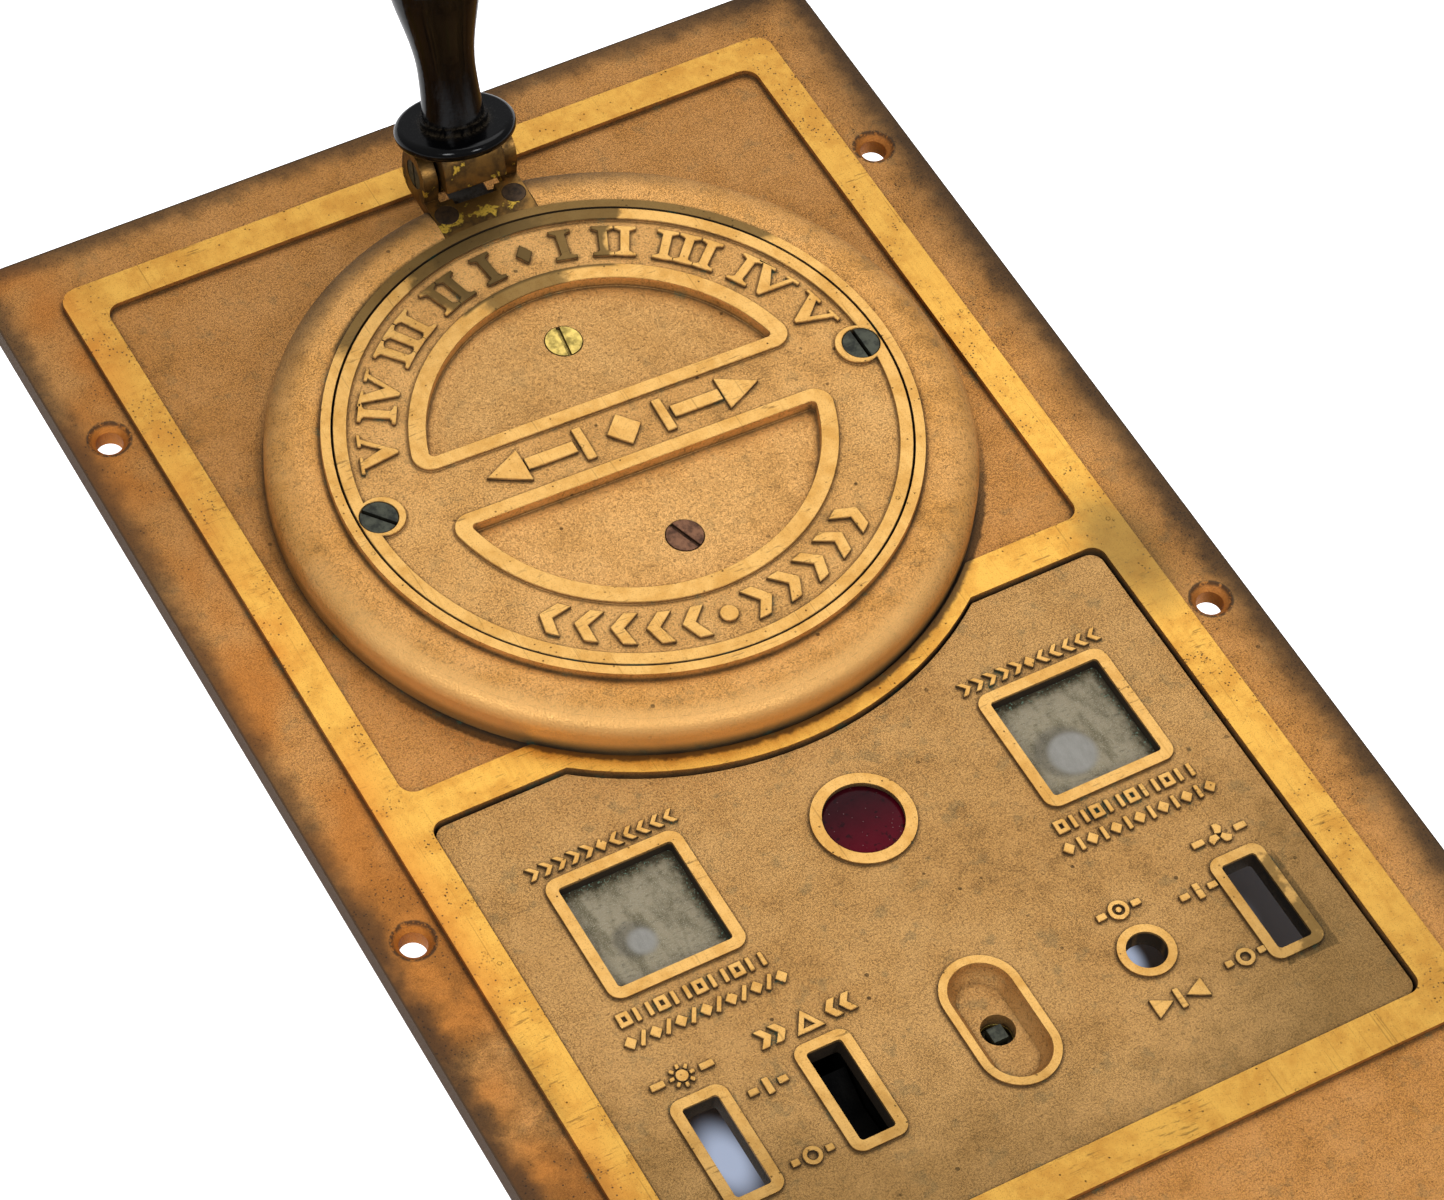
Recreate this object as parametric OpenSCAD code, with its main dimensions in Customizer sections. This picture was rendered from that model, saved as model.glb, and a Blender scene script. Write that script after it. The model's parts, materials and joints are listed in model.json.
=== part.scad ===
// Lift car operating panel with a car-switch lever.
// The frame's origin is the centre of the screw pattern on the back (mounting) face.
// +Z points out of the front, +Y towards the lever's end, +X right as seen from the front.

/* [Faceplate] */
// Width of the faceplate
plate_w = 304.8; // [300:0.1:310]
// Length of the faceplate
plate_l = 577.2; // [570:0.1:590]
// Thickness of the flange and the sunk field
plate_t = 8; // [7.5:0.1:9]
// Height of the polished band above the field
band_h = 2.5; // [2:0.1:3]
// Spacing of the mounting screws across the plate
screw_pitch_x = 279.4; // [275:0.1:282]
// Spacing of the mounting screws along the plate, row to row
screw_pitch_y = 209.6; // [205:0.1:212]
// Diameter of the mounting screw holes
screw_hole_d = 8.8; // [8:0.1:9]
// Diameter of the countersink at the front
countersink_d = 13.4; // [12.5:0.1:14]

/* [Dial and lever] */
// Distance of the dial's axis above the plate's centre
dial_y = 129; // [127:0.5:131]
// Outer radius of the domed ring
ring_r = 112.6; // [112:0.1:112.8]
// Radius of the cover disc
disc_r = 91; // [90.5:0.1:91.2]
// Height of the cover disc above the band
disc_rise = 15.8; // [15:0.1:17]
// Rest position of the lever, turned from the centre line (negative is clockwise)
rest_turn = -2; // [-4:0.5:4]
// Angle at which the grip leans out from the plate's normal
grip_lean = 19.7; // [15:0.1:20]
// Travel of the lever each way from the centre line
lever_travel = 45; // [40:1:46]

/* [Grip] */
// Length of the grip above its collar
grip_l = 118; // [100:1:130]
// Largest radius of the grip
grip_max_r = 15.6; // [14:0.1:17]
// Radius of the grip's waist
grip_waist_r = 9.5; // [9:0.1:10]
// Radius of the collar
collar_r = 20; // [18:0.1:20]

/* [Switch plate] */
// Half width of the opening for the switch plate
opening_half_w = 118; // [117:0.1:118.5]
// Gap all round the switch plate, when it sits in the middle of its opening
plate_gap = 0.8; // [0.6:0.1:1]
// Side of the two square windows
window_side = 38.4; // [37:0.1:39]
// Radius of the signal lens
lens_r = 12.7; // [12:0.1:13]
// Width of the tall switch slots
slot_w = 11.8; // [11.5:0.1:12.2]
// Length of the tall switch slots
slot_l = 32.6; // [32:0.1:34]
// Radius of the button hole
button_hole_r = 6.35; // [6:0.05:6.5]

/* [Hidden] */
$fn = 96;

// Colours
bronze = "#c98f45";
bronze_dark = "#8a6a3a";
brass = "#c9b04a";
steel = "#7b7670";
dark_steel = "#3c4038";
black = "#161616";
fibre = "#5a2f22";
copper = "#b56a3c";

// Heights, from the back face outward
back_z = 1;                     // the back is sunk by this much inside its rim
back_rim_w = 24;
back_rim_corner_r = 6;
field_z = plate_t;
band_z = plate_t + band_h;
disc_z = band_z + disc_rise;

// Polished band
band_out_x = 130.6;
band_top_y = 268.6;
band_bottom_y = -163.6;
band_corner_r = 6;
field_half_w = 119.2;
field_top_y = 256.9;
field_bottom_y = 45.2;
field_corner_r = 5;
ring_clear_r = ring_r + 1;      // edge of the sunk floor round the dial

// Opening for the switch plate, and the ledge it rests on
opening_top_y = 32.8;
opening_bottom_y = -150.8;
opening_corner_r = 4.5;
opening_arc_r = 119.7;          // the opening's top follows the dial
ledge_w = 5;
ledge_z = 3;

// Bearing
shaft_r = 7;
running_gap = 0.05;
bush_r = 11;
bush_flange_r = 16;
bush_flange_z = field_z + 2;
boss_r = 22;
boss_z = -14;

// Dial ring section
ring_in_r = disc_r + 0.7;
rim_out_r = 94.8;
rim_drop_r = 95.6;              // foot of the small step outside the rim
crown_z = disc_z - 2.2;         // highest line of the ring's domed top
crown_x = 100.5;                // distance of that line from the axis
crown_r = 25;
edge_r = 6;                     // radius of the ring's rounded outer edge
ring_floor_z = field_z + 0.8;
seat_z = 18;                    // the cover disc rests here
seat_in_r = 80;
seat_t = 5;

// Cover disc relief
annulus_z = disc_z - 1.3;
recess_z = disc_z - 4.4;
rim_in_r = 86.7;
outline_r = 67.6;
outline_flat = 9.8;
outline_corner_r = 6;
recess_r = 61.9;
recess_flat = 14.5;
recess_corner_r = 1.5;
cover_screw_r = 84.4;           // distance of the two cover screws from the axis
lobe_r = 7.6;
arm_screw_r = 42.6;             // distance of the two arm screws from the axis
screw_head_r = 6;
screw_shank_r = 3;
screw_seat_r = 6.15;
thread_gap = 0.05;
fit_gap = 0.02;                 // a fixed part round its spindle
arm_floor_z = bush_flange_z + 0.1;

// Lever bracket, in the dial's own frame: radial distance from the dial's axis and height
bracket_half_w = 16.6;
bracket_in_r = 96.3;
bracket_z0 = 18.9;
bracket_z1 = 23.9;
cheek_t = 5;
cheek_in_r = 111.3;
cheek_out_r = 128.4;
pivot_r = (cheek_in_r + cheek_out_r) / 2;
pivot_z = 29.4;
knuckle_r = 8.4;
knuckle_half_w = 10.7;
pin_r = 3;
rivet_r = 4;
rivet_x = 12;
rivet_y = 104;
bracket_slot_half_w = 7.5;
bracket_slot_in_r = 107;
leaf_in_r = 99;
leaf_l = 25;
leaf_t = 0.7;

// Height of the collar's middle above the pivot, along the grip
collar_u = 12.2;
collar_t = 5;
foot_top_u = collar_u - collar_t / 2;
collar_step_r = 11.2;
collar_step_t = 2.2;
grip_u0 = collar_u + collar_t / 2 + collar_step_t;
rod_r = 4;

// Switch plate
sw_z0 = ledge_z;
sw_z1 = band_z - 1.5;
sw_play = [-0.5, -0.5];         // the loose plate has slid towards one corner
bezel_z = sw_z1 + 1.2;
window_x = 75;
window_y = -23.6;
window_bezel = 46;
glass_side = 43.5;
glass_t = 2.5;
lens_y = -23.4;
lens_bezel_r = 16.4;
slot_y = -103.6;
slot_bezel_w = 18.8;
slot_bezel_l = 39.4;
light_x = -92.2;
safety_x = -51;
fan_x = 93;
mg_x = 51.5;
mg_bezel_r = 9.1;
cup_y = -103;
cup_r = 10.3;
cup_straight = 20.8;
cup_bezel_r = 13;
cup_floor_z = 4.2;
cup_floor_r = 7;
key_hole_r = 5.35;

// Cut-out boxes behind the windows
box_out = 46;
box_wall = 1.5;
box_floor_z = -16;
box_flange = 58;
button_r = 5.75;
button_top_z = -3.5;
button_stem_r = 3;
box_screw_offset = 25.5;

// Lamp, safety switch and key latch behind the switch plate
lens_flange_r = 16;
lens_floor_z = 0.8;
retainer_r = 25;
retainer_z = -1.2;
retainer_screw_ring_r = 21;
safety_pivot_z = -8;
safety_inner_w = 12.6;
safety_pin_r = 1.5;
barrel_r = 8;
barrel_z0 = -7;
spindle_r = 5;
latch_z1 = barrel_z0 - 0.3;
latch_z0 = latch_z1 - 3.5;
tongue_x = 88;
tongue_screw_y = 21;

// Small screws driven into the back of the switch plate
rear_screw_r = 1.5;
rear_screw_depth = 4;
box_screw_places = [for (x = [-window_x, window_x], sx = [-1, 1], sy = [-1, 1])
    [x + sx * box_screw_offset, window_y + sy * box_screw_offset]];
lens_screw_places = [for (a = [30, 150, 270])
    [retainer_screw_ring_r * cos(a), lens_y + retainer_screw_ring_r * sin(a)]];
safety_screw_places = [for (side = [-1, 1]) [safety_x, slot_y + side * 28]];
tongue_screw_places = [for (x = [-tongue_x, tongue_x]) [x, tongue_screw_y]];
rear_screw_places = concat(box_screw_places, lens_screw_places, safety_screw_places,
                           tongue_screw_places);

// Contact gear behind the faceplate
stop_z0 = -20;
stop_z1 = -15;
stop_post_track = 32;
stop_post_r = 4;
stop_arm_half_w = 6;
carrier_z0 = -34;
carrier_z1 = -26;
carrier_r = 47;
segment_t = 2.5;
board_z0 = -56;
board_z1 = -48;
board_w = 124;
board_l = 100;
pillar_x = 52;
pillar_y = 40;
pillar_r = 5;
finger_gap = 0.1;
spring_coil_r = 26;
spring_wire_r = 1.2;
moving_pin_y = -34;
moving_pin_r = 1.8;
fixed_pin_y = -44;
fixed_pin_r = 3;
board_screw_r = 2.5;

// Each finger meets its own track: distance from the dial's axis and direction.
finger_tracks = [[22, 90], [32, 55], [32, 125], [42, 62], [42, 118]];
finger_places = [for (t = finger_tracks) t[0] * [cos(t[1]), sin(t[1])]];

// ---- helpers ----

// Extrudes a flat shape between two heights.
module slab(z0, z1) {
    translate([0, 0, z0]) linear_extrude(z1 - z0) children();
}

// A rectangle with round corners, centred.
module rounded_rect(w, l, r) {
    square([w - 2 * r, l], center = true);
    square([w, l - 2 * r], center = true);
    for (x = [-1, 1], y = [-1, 1])
        translate([x * (w / 2 - r), y * (l / 2 - r)]) circle(r);
}

// A rectangle with round corners between two opposite corners.
module rounded_span(x0, y0, x1, y1, r) {
    translate([(x0 + x1) / 2, (y0 + y1) / 2]) rounded_rect(x1 - x0, y1 - y0, r);
}

// A slot with round ends along Y, centred.
module stadium(r, straight) {
    square([2 * r, straight], center = true);
    for (y = [-1, 1]) translate([0, y * straight / 2]) circle(r);
}

// Half a disc above the line y = flat, with its two corners rounded.
module rounded_d(r, flat, corner) {
    x0 = sqrt(pow(r - corner, 2) - pow(flat + corner, 2));
    turn = atan2(flat + corner, x0);
    reach = 2 * r;
    translate([-x0, flat]) square([2 * x0, corner]);
    for (x = [-x0, x0]) translate([x, flat + corner]) circle(corner);
    intersection() {
        circle(r);
        translate([-reach, flat]) square([2 * reach, reach]);
        polygon([[0, 0], reach * [cos(turn), sin(turn)], [reach, reach], [-reach, reach],
                 reach * [-cos(turn), sin(turn)]]);
    }
}

// A ring between two radii.
module annulus(r_out, r_in) {
    difference() {
        circle(r_out);
        circle(r_in);
    }
}

// A sector of a ring between two angles.
module arc_band(r_out, r_in, a0, a1) {
    reach = 2 * r_out;
    mid = (a0 + a1) / 2;
    intersection() {
        annulus(r_out, r_in);
        polygon([[0, 0], reach * [cos(a0), sin(a0)], reach * [cos(mid), sin(mid)],
                 reach * [cos(a1), sin(a1)]]);
    }
}

// A slotted screw pointing down, its head's top at z = 0.
module slotted_screw(head_r, head_h, shank_r, length, slot_turn = 0) {
    slot_w = head_r * 0.2;
    difference() {
        translate([0, 0, -head_h]) cylinder(r = head_r, h = head_h);
        rotate(slot_turn)
            translate([-head_r - 1, -slot_w / 2, -head_h * 0.55])
                cube([2 * head_r + 2, slot_w, head_h]);
    }
    translate([0, 0, -length]) cylinder(r = shank_r, h = length - head_h);
}

// A coil of round wire along Z from z = 0, as one swept skin.
module coil(mean_r, wire_r, height, turns) {
    sides = 6;
    steps = round(18 * turns);
    ring = function(i)
        let (turn = 360 * turns * i / steps, z = height * i / steps)
        [for (k = [0:sides - 1])
            let (a = 360 * k / sides, r = mean_r + wire_r * cos(a))
            [r * cos(turn), r * sin(turn), z + wire_r * sin(a)]];
    points = [for (i = [0:steps]) each ring(i)];
    skin = [for (i = [0:steps - 1], k = [0:sides - 1])
        let (a = i * sides + k, b = i * sides + (k + 1) % sides)
        [a, b, b + sides, a + sides]];
    first = [for (k = [sides - 1:-1:0]) k];
    last = [for (k = [0:sides - 1]) steps * sides + k];
    polyhedron(points, concat([first], skin, [last]));
}

// Places something in the dial's frame, turned to its rest position.
module at_dial() {
    translate([0, dial_y, 0]) rotate([0, 0, rest_turn]) children();
}

// Places something in the grip's frame: Z along the grip, X along the pivot.
module at_grip() {
    at_dial() translate([0, pivot_r, pivot_z]) rotate([-grip_lean, 0, 0]) children();
}

// ---- faceplate ----

// The opening's outline, drawn in by a margin.
module opening_outline(margin) {
    difference() {
        rounded_span(-opening_half_w + margin, opening_bottom_y + margin,
                     opening_half_w - margin, opening_top_y - margin, opening_corner_r);
        translate([0, dial_y]) circle(opening_arc_r + margin);
    }
}

// The polished band: an outer frame and a crossbar that curves under the dial.
module band_outline() {
    difference() {
        rounded_span(-band_out_x, band_bottom_y, band_out_x, band_top_y, band_corner_r);
        rounded_span(-field_half_w, field_bottom_y, field_half_w, field_top_y, field_corner_r);
        translate([0, dial_y]) circle(ring_clear_r);
    }
}

module mounting_holes() {
    for (x = [-1, 1], row = [-1:1]) translate([x * screw_pitch_x / 2, row * screw_pitch_y, 0]) {
        translate([0, 0, -1]) cylinder(d = screw_hole_d, h = plate_t + 2);
        countersink_h = (countersink_d - screw_hole_d) / 2;
        translate([0, 0, plate_t - countersink_h])
            cylinder(d1 = screw_hole_d, d2 = countersink_d, h = countersink_h);
    }
}

module faceplate() {
    color(bronze) difference() {
        union() {
            slab(0, field_z) square([plate_w, plate_l], center = true);
            slab(field_z, band_z) band_outline();
            translate([0, dial_y, boss_z]) cylinder(r = boss_r, h = back_z + 1 - boss_z);
        }
        slab(-1, back_z) difference() {
            rounded_rect(plate_w - 2 * back_rim_w, plate_l - 2 * back_rim_w, back_rim_corner_r);
            translate([0, dial_y]) circle(boss_r);
        }
        slab(ledge_z, band_z + 1) opening_outline(0);
        slab(-1, band_z) opening_outline(ledge_w);
        translate([0, dial_y, boss_z - 1]) cylinder(r = bush_r + fit_gap, h = field_z - boss_z + 2);
        mounting_holes();
    }
}

module bearing_bush() {
    color(brass) translate([0, dial_y, 0]) difference() {
        union() {
            translate([0, 0, boss_z]) cylinder(r = bush_r, h = field_z - boss_z);
            translate([0, 0, field_z]) cylinder(r = bush_flange_r, h = bush_flange_z - field_z);
        }
        translate([0, 0, boss_z - 1]) cylinder(r = shaft_r + running_gap, h = 40);
    }
}

// Two stops for the stop arm, and the fixed pin that the centring spring grips.
module stop_posts() {
    spread = lever_travel + asin((stop_arm_half_w + stop_post_r) / stop_post_track) + 0.4;
    color(steel) translate([0, dial_y, 0]) {
        for (side = [-1, 1]) rotate(-90 + side * spread)
            translate([stop_post_track, 0, stop_z0 - 2])
                cylinder(r = stop_post_r, h = back_z + 2 - stop_z0);
        translate([0, fixed_pin_y, boss_z]) cylinder(r = fixed_pin_r, h = back_z - boss_z);
    }
}

// A coil round the bearing boss whose two tails straddle the fixed and the moving pin.
module centring_spring() {
    tail_x = fixed_pin_r + spring_wire_r + running_gap;
    coil_y = -sqrt(pow(spring_coil_r, 2) - pow(tail_x, 2));
    tail_l = 22;
    start = atan2(coil_y, tail_x);
    turns = 3 - (180 + 2 * start) / 360;
    low_z = -10.5;
    high_z = -3;
    color(steel) translate([0, dial_y, 0]) {
        translate([0, 0, low_z]) rotate(start)
            coil(spring_coil_r, spring_wire_r, high_z - low_z, turns);
        for (tail = [[tail_x, low_z], [-tail_x, high_z]])
            translate([tail[0], coil_y, tail[1]]) {
                rotate([90, 0, 0]) cylinder(r = spring_wire_r, h = tail_l);
                sphere(spring_wire_r);
            }
    }
}

// ---- switch plate ----

module switch_plate() {
    color(bronze) difference() {
        union() {
            slab(sw_z0, sw_z1) translate(sw_play) opening_outline(plate_gap);
            for (x = [-window_x, window_x]) translate([x, window_y])
                slab(sw_z0, bezel_z) rounded_rect(window_bezel, window_bezel, 4.5);
            translate([0, lens_y, sw_z0]) cylinder(r = lens_bezel_r, h = bezel_z - sw_z0);
            for (x = [light_x, safety_x, fan_x]) translate([x, slot_y])
                slab(sw_z0, bezel_z) rounded_rect(slot_bezel_w, slot_bezel_l, 4);
            translate([mg_x, slot_y + 1.4, sw_z0]) cylinder(r = mg_bezel_r, h = bezel_z - sw_z0);
            translate([0, cup_y]) slab(-1, bezel_z) stadium(cup_bezel_r, cup_straight);
        }
        for (x = [-window_x, window_x]) translate([x, window_y]) {
            slab(0, bezel_z + 1) rounded_rect(window_side, window_side, 1.2);
            slab(0, sw_z0 + glass_t) square(glass_side + 0.5, center = true);
        }
        translate([0, lens_y, 0]) cylinder(r = lens_r, h = bezel_z + 1);
        for (x = [light_x, safety_x, fan_x]) translate([x, slot_y])
            slab(0, bezel_z + 1) rounded_rect(slot_w, slot_l, 1.2);
        translate([mg_x, slot_y + 1.4, 0]) cylinder(r = button_hole_r, h = bezel_z + 1);
        translate([0, cup_y, 0]) cup_cavity();
        translate([0, cup_y, -2]) cylinder(r = key_hole_r, h = 10);
        rear_screw_holes();
    }
}

// The dished hollow of the key cup: two round ends and a straight middle.
module cup_cavity() {
    top_z = bezel_z + 1;
    rim_r = cup_r + 0.5;
    half = [[0, cup_floor_z], [cup_floor_r, cup_floor_z], [cup_r - 0.8, cup_floor_z + 3],
            [cup_r, bezel_z], [rim_r, top_z], [0, top_z]];
    for (y = [-1, 1]) translate([0, y * cup_straight / 2, 0]) rotate_extrude() polygon(half);
    for (side = [0, 1]) mirror([side, 0, 0])
        translate([0, cup_straight / 2, 0]) rotate([90, 0, 0])
            linear_extrude(cup_straight) polygon(half);
}

// Blind tapped holes in the back of the switch plate.
module rear_screw_holes() {
    for (place = rear_screw_places)
        translate([place[0], place[1], sw_z0 - 1])
            cylinder(r = rear_screw_r, h = rear_screw_depth + 1);
}

// A row of small screws driven into the back of the switch plate, heads at z_head.
module rear_screws(places, z_head) {
    for (place = places) translate([place[0], place[1], z_head]) rotate([180, 0, 0])
        slotted_screw(2.9, 1.8, rear_screw_r - thread_gap, sw_z0 + rear_screw_depth - 0.2 - z_head, 20);
}

// Two tongues that hook the plate's upper corners behind the faceplate, with their screws.
module top_tongues() {
    width = 18;
    strip_t = 2;
    seat_y = 14;
    step_y = opening_top_y - ledge_w - 0.5 - strip_t;
    hook_y = step_y + 13;
    hook_z = back_z - 0.3 - strip_t;
    color(steel) {
        for (x = [-tongue_x, tongue_x]) difference() {
            translate([x - width / 2, 0, 0]) rotate([90, 0, 90]) linear_extrude(width)
                polygon([[seat_y, sw_z0 - strip_t], [step_y, sw_z0 - strip_t], [step_y, hook_z],
                         [hook_y, hook_z], [hook_y, hook_z + strip_t],
                         [step_y + strip_t, hook_z + strip_t], [step_y + strip_t, sw_z0],
                         [seat_y, sw_z0]]);
            translate([x, tongue_screw_y, 0]) cylinder(r = rear_screw_r, h = 4);
        }
        rear_screws(tongue_screw_places, -0.8);
    }
}

// ---- emergency cut-out units behind the two windows ----

module glass_pane(x) {
    color([0.75, 0.75, 0.7, 0.5]) translate([x, window_y, 0])
        slab(sw_z0, sw_z0 + glass_t) square(glass_side, center = true);
}

module glass_gaskets() {
    color(black) for (x = [-window_x, window_x]) translate([x, window_y, 0])
        slab(1.5, sw_z0) difference() {
            square(glass_side, center = true);
            square(window_side, center = true);
        }
}

// A pressed tray with a flange, four screw holes and a hole for the button's stem.
module cutout_box(x) {
    color("#6e6a60") translate([x, window_y, 0]) difference() {
        union() {
            slab(0, 1.5) rounded_rect(box_flange, box_flange, 5);
            slab(box_floor_z, 1.5) rounded_rect(box_out, box_out, 4);
        }
        slab(box_floor_z + box_wall, 2)
            rounded_rect(box_out - 2 * box_wall, box_out - 2 * box_wall, 2.5);
        translate([0, 0, box_floor_z - 1]) cylinder(r = button_stem_r + 0.5, h = 5);
        for (sx = [-1, 1], sy = [-1, 1])
            translate([sx * box_screw_offset, sy * box_screw_offset, -1]) cylinder(r = 1.55, h = 4);
    }
}

module cutout_box_screws() {
    color(steel) {
        difference() {
            for (place = box_screw_places) translate([place[0], place[1], 1.5])
                cylinder(r = 2.6, h = sw_z0 - 1.5);
            for (place = box_screw_places) translate([place[0], place[1], 1])
                cylinder(r = rear_screw_r, h = 3);
        }
        rear_screws(box_screw_places, -1.8);
    }
}

module contact_block(x) {
    color(black) translate([x, window_y, 0]) difference() {
        slab(box_floor_z - 12, box_floor_z) rounded_rect(26, 26, 2);
        translate([0, 0, box_floor_z - 13])
            cylinder(r = button_stem_r + running_gap, h = 14);
    }
}

module cutout_button(x) {
    cap_t = 3.5;
    color("ivory") translate([x, window_y, 0]) {
        translate([0, 0, button_top_z - cap_t]) cylinder(r = button_r, h = cap_t);
        translate([0, 0, -25]) cylinder(r = button_stem_r, h = 25 + button_top_z - 1);
    }
}

module button_spring(x) {
    wire = 0.5;
    floor_z = box_floor_z + box_wall + wire + 0.05;
    color(steel) translate([x, window_y, floor_z])
        coil(4.6, wire, button_top_z - 3.5 - wire - 0.05 - floor_z, 5);
}

// ---- signal lamp ----

module lens() {
    dome_rise = 1.2;
    side_z = bezel_z - 1.8;
    dome_r = (pow(lens_r, 2) + pow(dome_rise, 2)) / (2 * dome_rise);
    color("#6b0f1e") translate([0, lens_y, 0]) {
        translate([0, 0, lens_floor_z]) cylinder(r = lens_flange_r, h = sw_z0 - lens_floor_z);
        translate([0, 0, sw_z0]) cylinder(r = lens_r - 0.05, h = side_z - sw_z0);
        intersection() {
            translate([0, 0, side_z + dome_rise - dome_r]) sphere(dome_r);
            translate([0, 0, side_z]) cylinder(r = lens_r - 0.05, h = 3);
        }
    }
}

// A stepped ring that clamps the lens against the back of the switch plate.
module lens_retainer() {
    color(brass) {
        translate([0, lens_y, 0]) difference() {
            translate([0, 0, retainer_z]) cylinder(r = retainer_r, h = sw_z0 - retainer_z);
            translate([0, 0, lens_floor_z]) cylinder(r = lens_flange_r + 0.1, h = 3);
            translate([0, 0, retainer_z - 1]) cylinder(r = 11, h = 5);
            for (place = lens_screw_places)
                translate([place[0], place[1] - lens_y, retainer_z - 1])
                    cylinder(r = rear_screw_r, h = 6);
        }
        rear_screws(lens_screw_places, -5);
    }
}

// A strip that carries the lamp socket behind the lens.
module lamp_bracket() {
    color(steel) translate([0, lens_y, 0]) difference() {
        union() {
            slab(retainer_z - 2, retainer_z) annulus(retainer_r, 12);
            for (side = [-1, 1]) translate([side * 14 - 1, -5, -40]) cube([2, 10, 37.5]);
            slab(-40, -38) rounded_rect(30, 18, 2);
        }
        translate([0, 0, -41]) cylinder(r = 7.05, h = 5);
        for (place = lens_screw_places)
            translate([place[0], place[1] - lens_y, -4]) cylinder(r = rear_screw_r, h = 6);
    }
}

module lamp_socket() {
    color(brass) translate([0, lens_y, 0]) difference() {
        union() {
            translate([0, 0, -50]) cylinder(r = 7, h = 22);
            translate([0, 0, -37.9]) cylinder(r = 8.5, h = 3);
        }
        translate([0, 0, -36]) cylinder(r = 5.6, h = 10);
    }
}

module lamp_bulb() {
    color([0.95, 0.9, 0.75, 0.7]) translate([0, lens_y, 0]) {
        translate([0, 0, -18]) sphere(8);
        translate([0, 0, -36]) cylinder(r = 5.5, h = 13);
    }
}

// ---- safety switch behind its slot ----

module safety_switch_body() {
    color(black) difference() {
        translate([safety_x, slot_y, 0]) difference() {
            union() {
                slab(-27, sw_z0) rounded_rect(22, 46, 2);
                slab(0.5, sw_z0) rounded_rect(16, 64, 3);
            }
            slab(-20, sw_z0 + 1) square([safety_inner_w, 39], center = true);
            translate([-12, 0, safety_pivot_z]) rotate([0, 90, 0])
                cylinder(r = safety_pin_r + fit_gap, h = 24);
        }
        for (place = safety_screw_places)
            translate([place[0], place[1], -1]) cylinder(r = rear_screw_r, h = 5);
    }
}

module safety_switch_screws() {
    color(steel) rear_screws(safety_screw_places, -1.3);
}

module safety_rocker_pin() {
    color(steel) translate([safety_x - 11, slot_y, safety_pivot_z])
        rotate([0, 90, 0]) cylinder(r = safety_pin_r, h = 22);
}

// A two-way rocker, tipped to its upper position.
module safety_rocker() {
    rest_tilt = 9;
    profile = [[-12.5, 9.5], [0, 5.5], [12.5, 9.5], [12, 6], [4.5, -4], [-4.5, -4], [-12, 6]];
    color("#0c0c0c") translate([safety_x, slot_y, safety_pivot_z]) rotate([rest_tilt, 0, 0])
        difference() {
            translate([-5, 0, 0]) rotate([90, 0, 90]) linear_extrude(10) polygon(profile);
            translate([-6, 0, 0]) rotate([0, 90, 0])
                cylinder(r = safety_pin_r + running_gap, h = 12);
        }
}

// ---- key latch in the cup ----

module key_barrel() {
    color(brass) translate([0, cup_y, 0]) difference() {
        union() {
            translate([0, 0, barrel_z0]) cylinder(r = barrel_r, h = -1 - barrel_z0);
            translate([0, 0, -2.5]) cylinder(r = 12, h = 1.5);
        }
        translate([0, 0, barrel_z0 - 1]) cylinder(r = spindle_r + running_gap, h = 10);
    }
}

// A round spindle with a square end that a loose key turns.
module key_spindle() {
    color(dark_steel) translate([0, cup_y, 0]) {
        translate([0, 0, latch_z0 - 2]) cylinder(r = spindle_r, h = -2.5 - latch_z0 + 2);
        translate([-2.5, -2.5, -2.5]) cube([5, 5, 5]);
        translate([0, 0, latch_z0 - 4.5]) cylinder(r = 7, h = 2.5, $fn = 6);
    }
}

// The cranked bar whose pad hooks behind the faceplate below the opening.
module latch_bar() {
    reach = 47;
    color(steel) translate([0, cup_y, 0]) {
        difference() {
            slab(latch_z0, latch_z1) {
                circle(9);
                translate([-6, -reach]) square([12, reach]);
                translate([0, -reach]) circle(6);
            }
            translate([0, 0, latch_z0 - 1]) cylinder(r = spindle_r + fit_gap, h = 6);
        }
        translate([0, -reach, latch_z1]) cylinder(r = 5, h = back_z - 0.2 - latch_z1);
    }
}

// ---- contact gear ----

module finger_board() {
    color(fibre) translate([0, dial_y, 0]) difference() {
        slab(board_z0, board_z1) rounded_rect(board_w, board_l, 6);
        translate([0, 0, board_z0 - 1]) cylinder(r = 10, h = 10);
        for (x = [-1, 1], y = [-1, 1])
            translate([x * pillar_x, y * pillar_y, board_z0 - 1])
                cylinder(r = board_screw_r, h = 10);
        for (place = finger_places)
            translate([place[0], place[1], board_z0 - 1]) cylinder(r = 2, h = 10);
    }
}

module board_pillars() {
    color(brass) translate([0, dial_y, 0]) for (x = [-1, 1], y = [-1, 1])
        translate([x * pillar_x, y * pillar_y, board_z1]) difference() {
            cylinder(r = pillar_r, h = back_z - board_z1);
            translate([0, 0, -1]) cylinder(r = board_screw_r, h = 13);
        }
}

module board_screws() {
    color(steel) translate([0, dial_y, 0]) for (x = [-1, 1], y = [-1, 1])
        translate([x * pillar_x, y * pillar_y, board_z0 - 3]) rotate([180, 0, 0])
            slotted_screw(4.5, 3, board_screw_r - thread_gap, 3 + board_z1 - board_z0 + 10, 35);
}

// Brass posts with round copper tips that rest on the moving segments.
module contact_fingers() {
    tip_z = carrier_z0 - segment_t - finger_gap;
    color(copper) translate([0, dial_y, 0]) for (place = finger_places)
        translate([place[0], place[1], 0]) {
            translate([0, 0, board_z1]) cylinder(r = 4, h = 4);
            translate([0, 0, board_z1]) cylinder(r = 1.8, h = tip_z - 2 - board_z1);
            translate([0, 0, tip_z - 2]) cylinder(r = 3, h = 2);
        }
}

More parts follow.
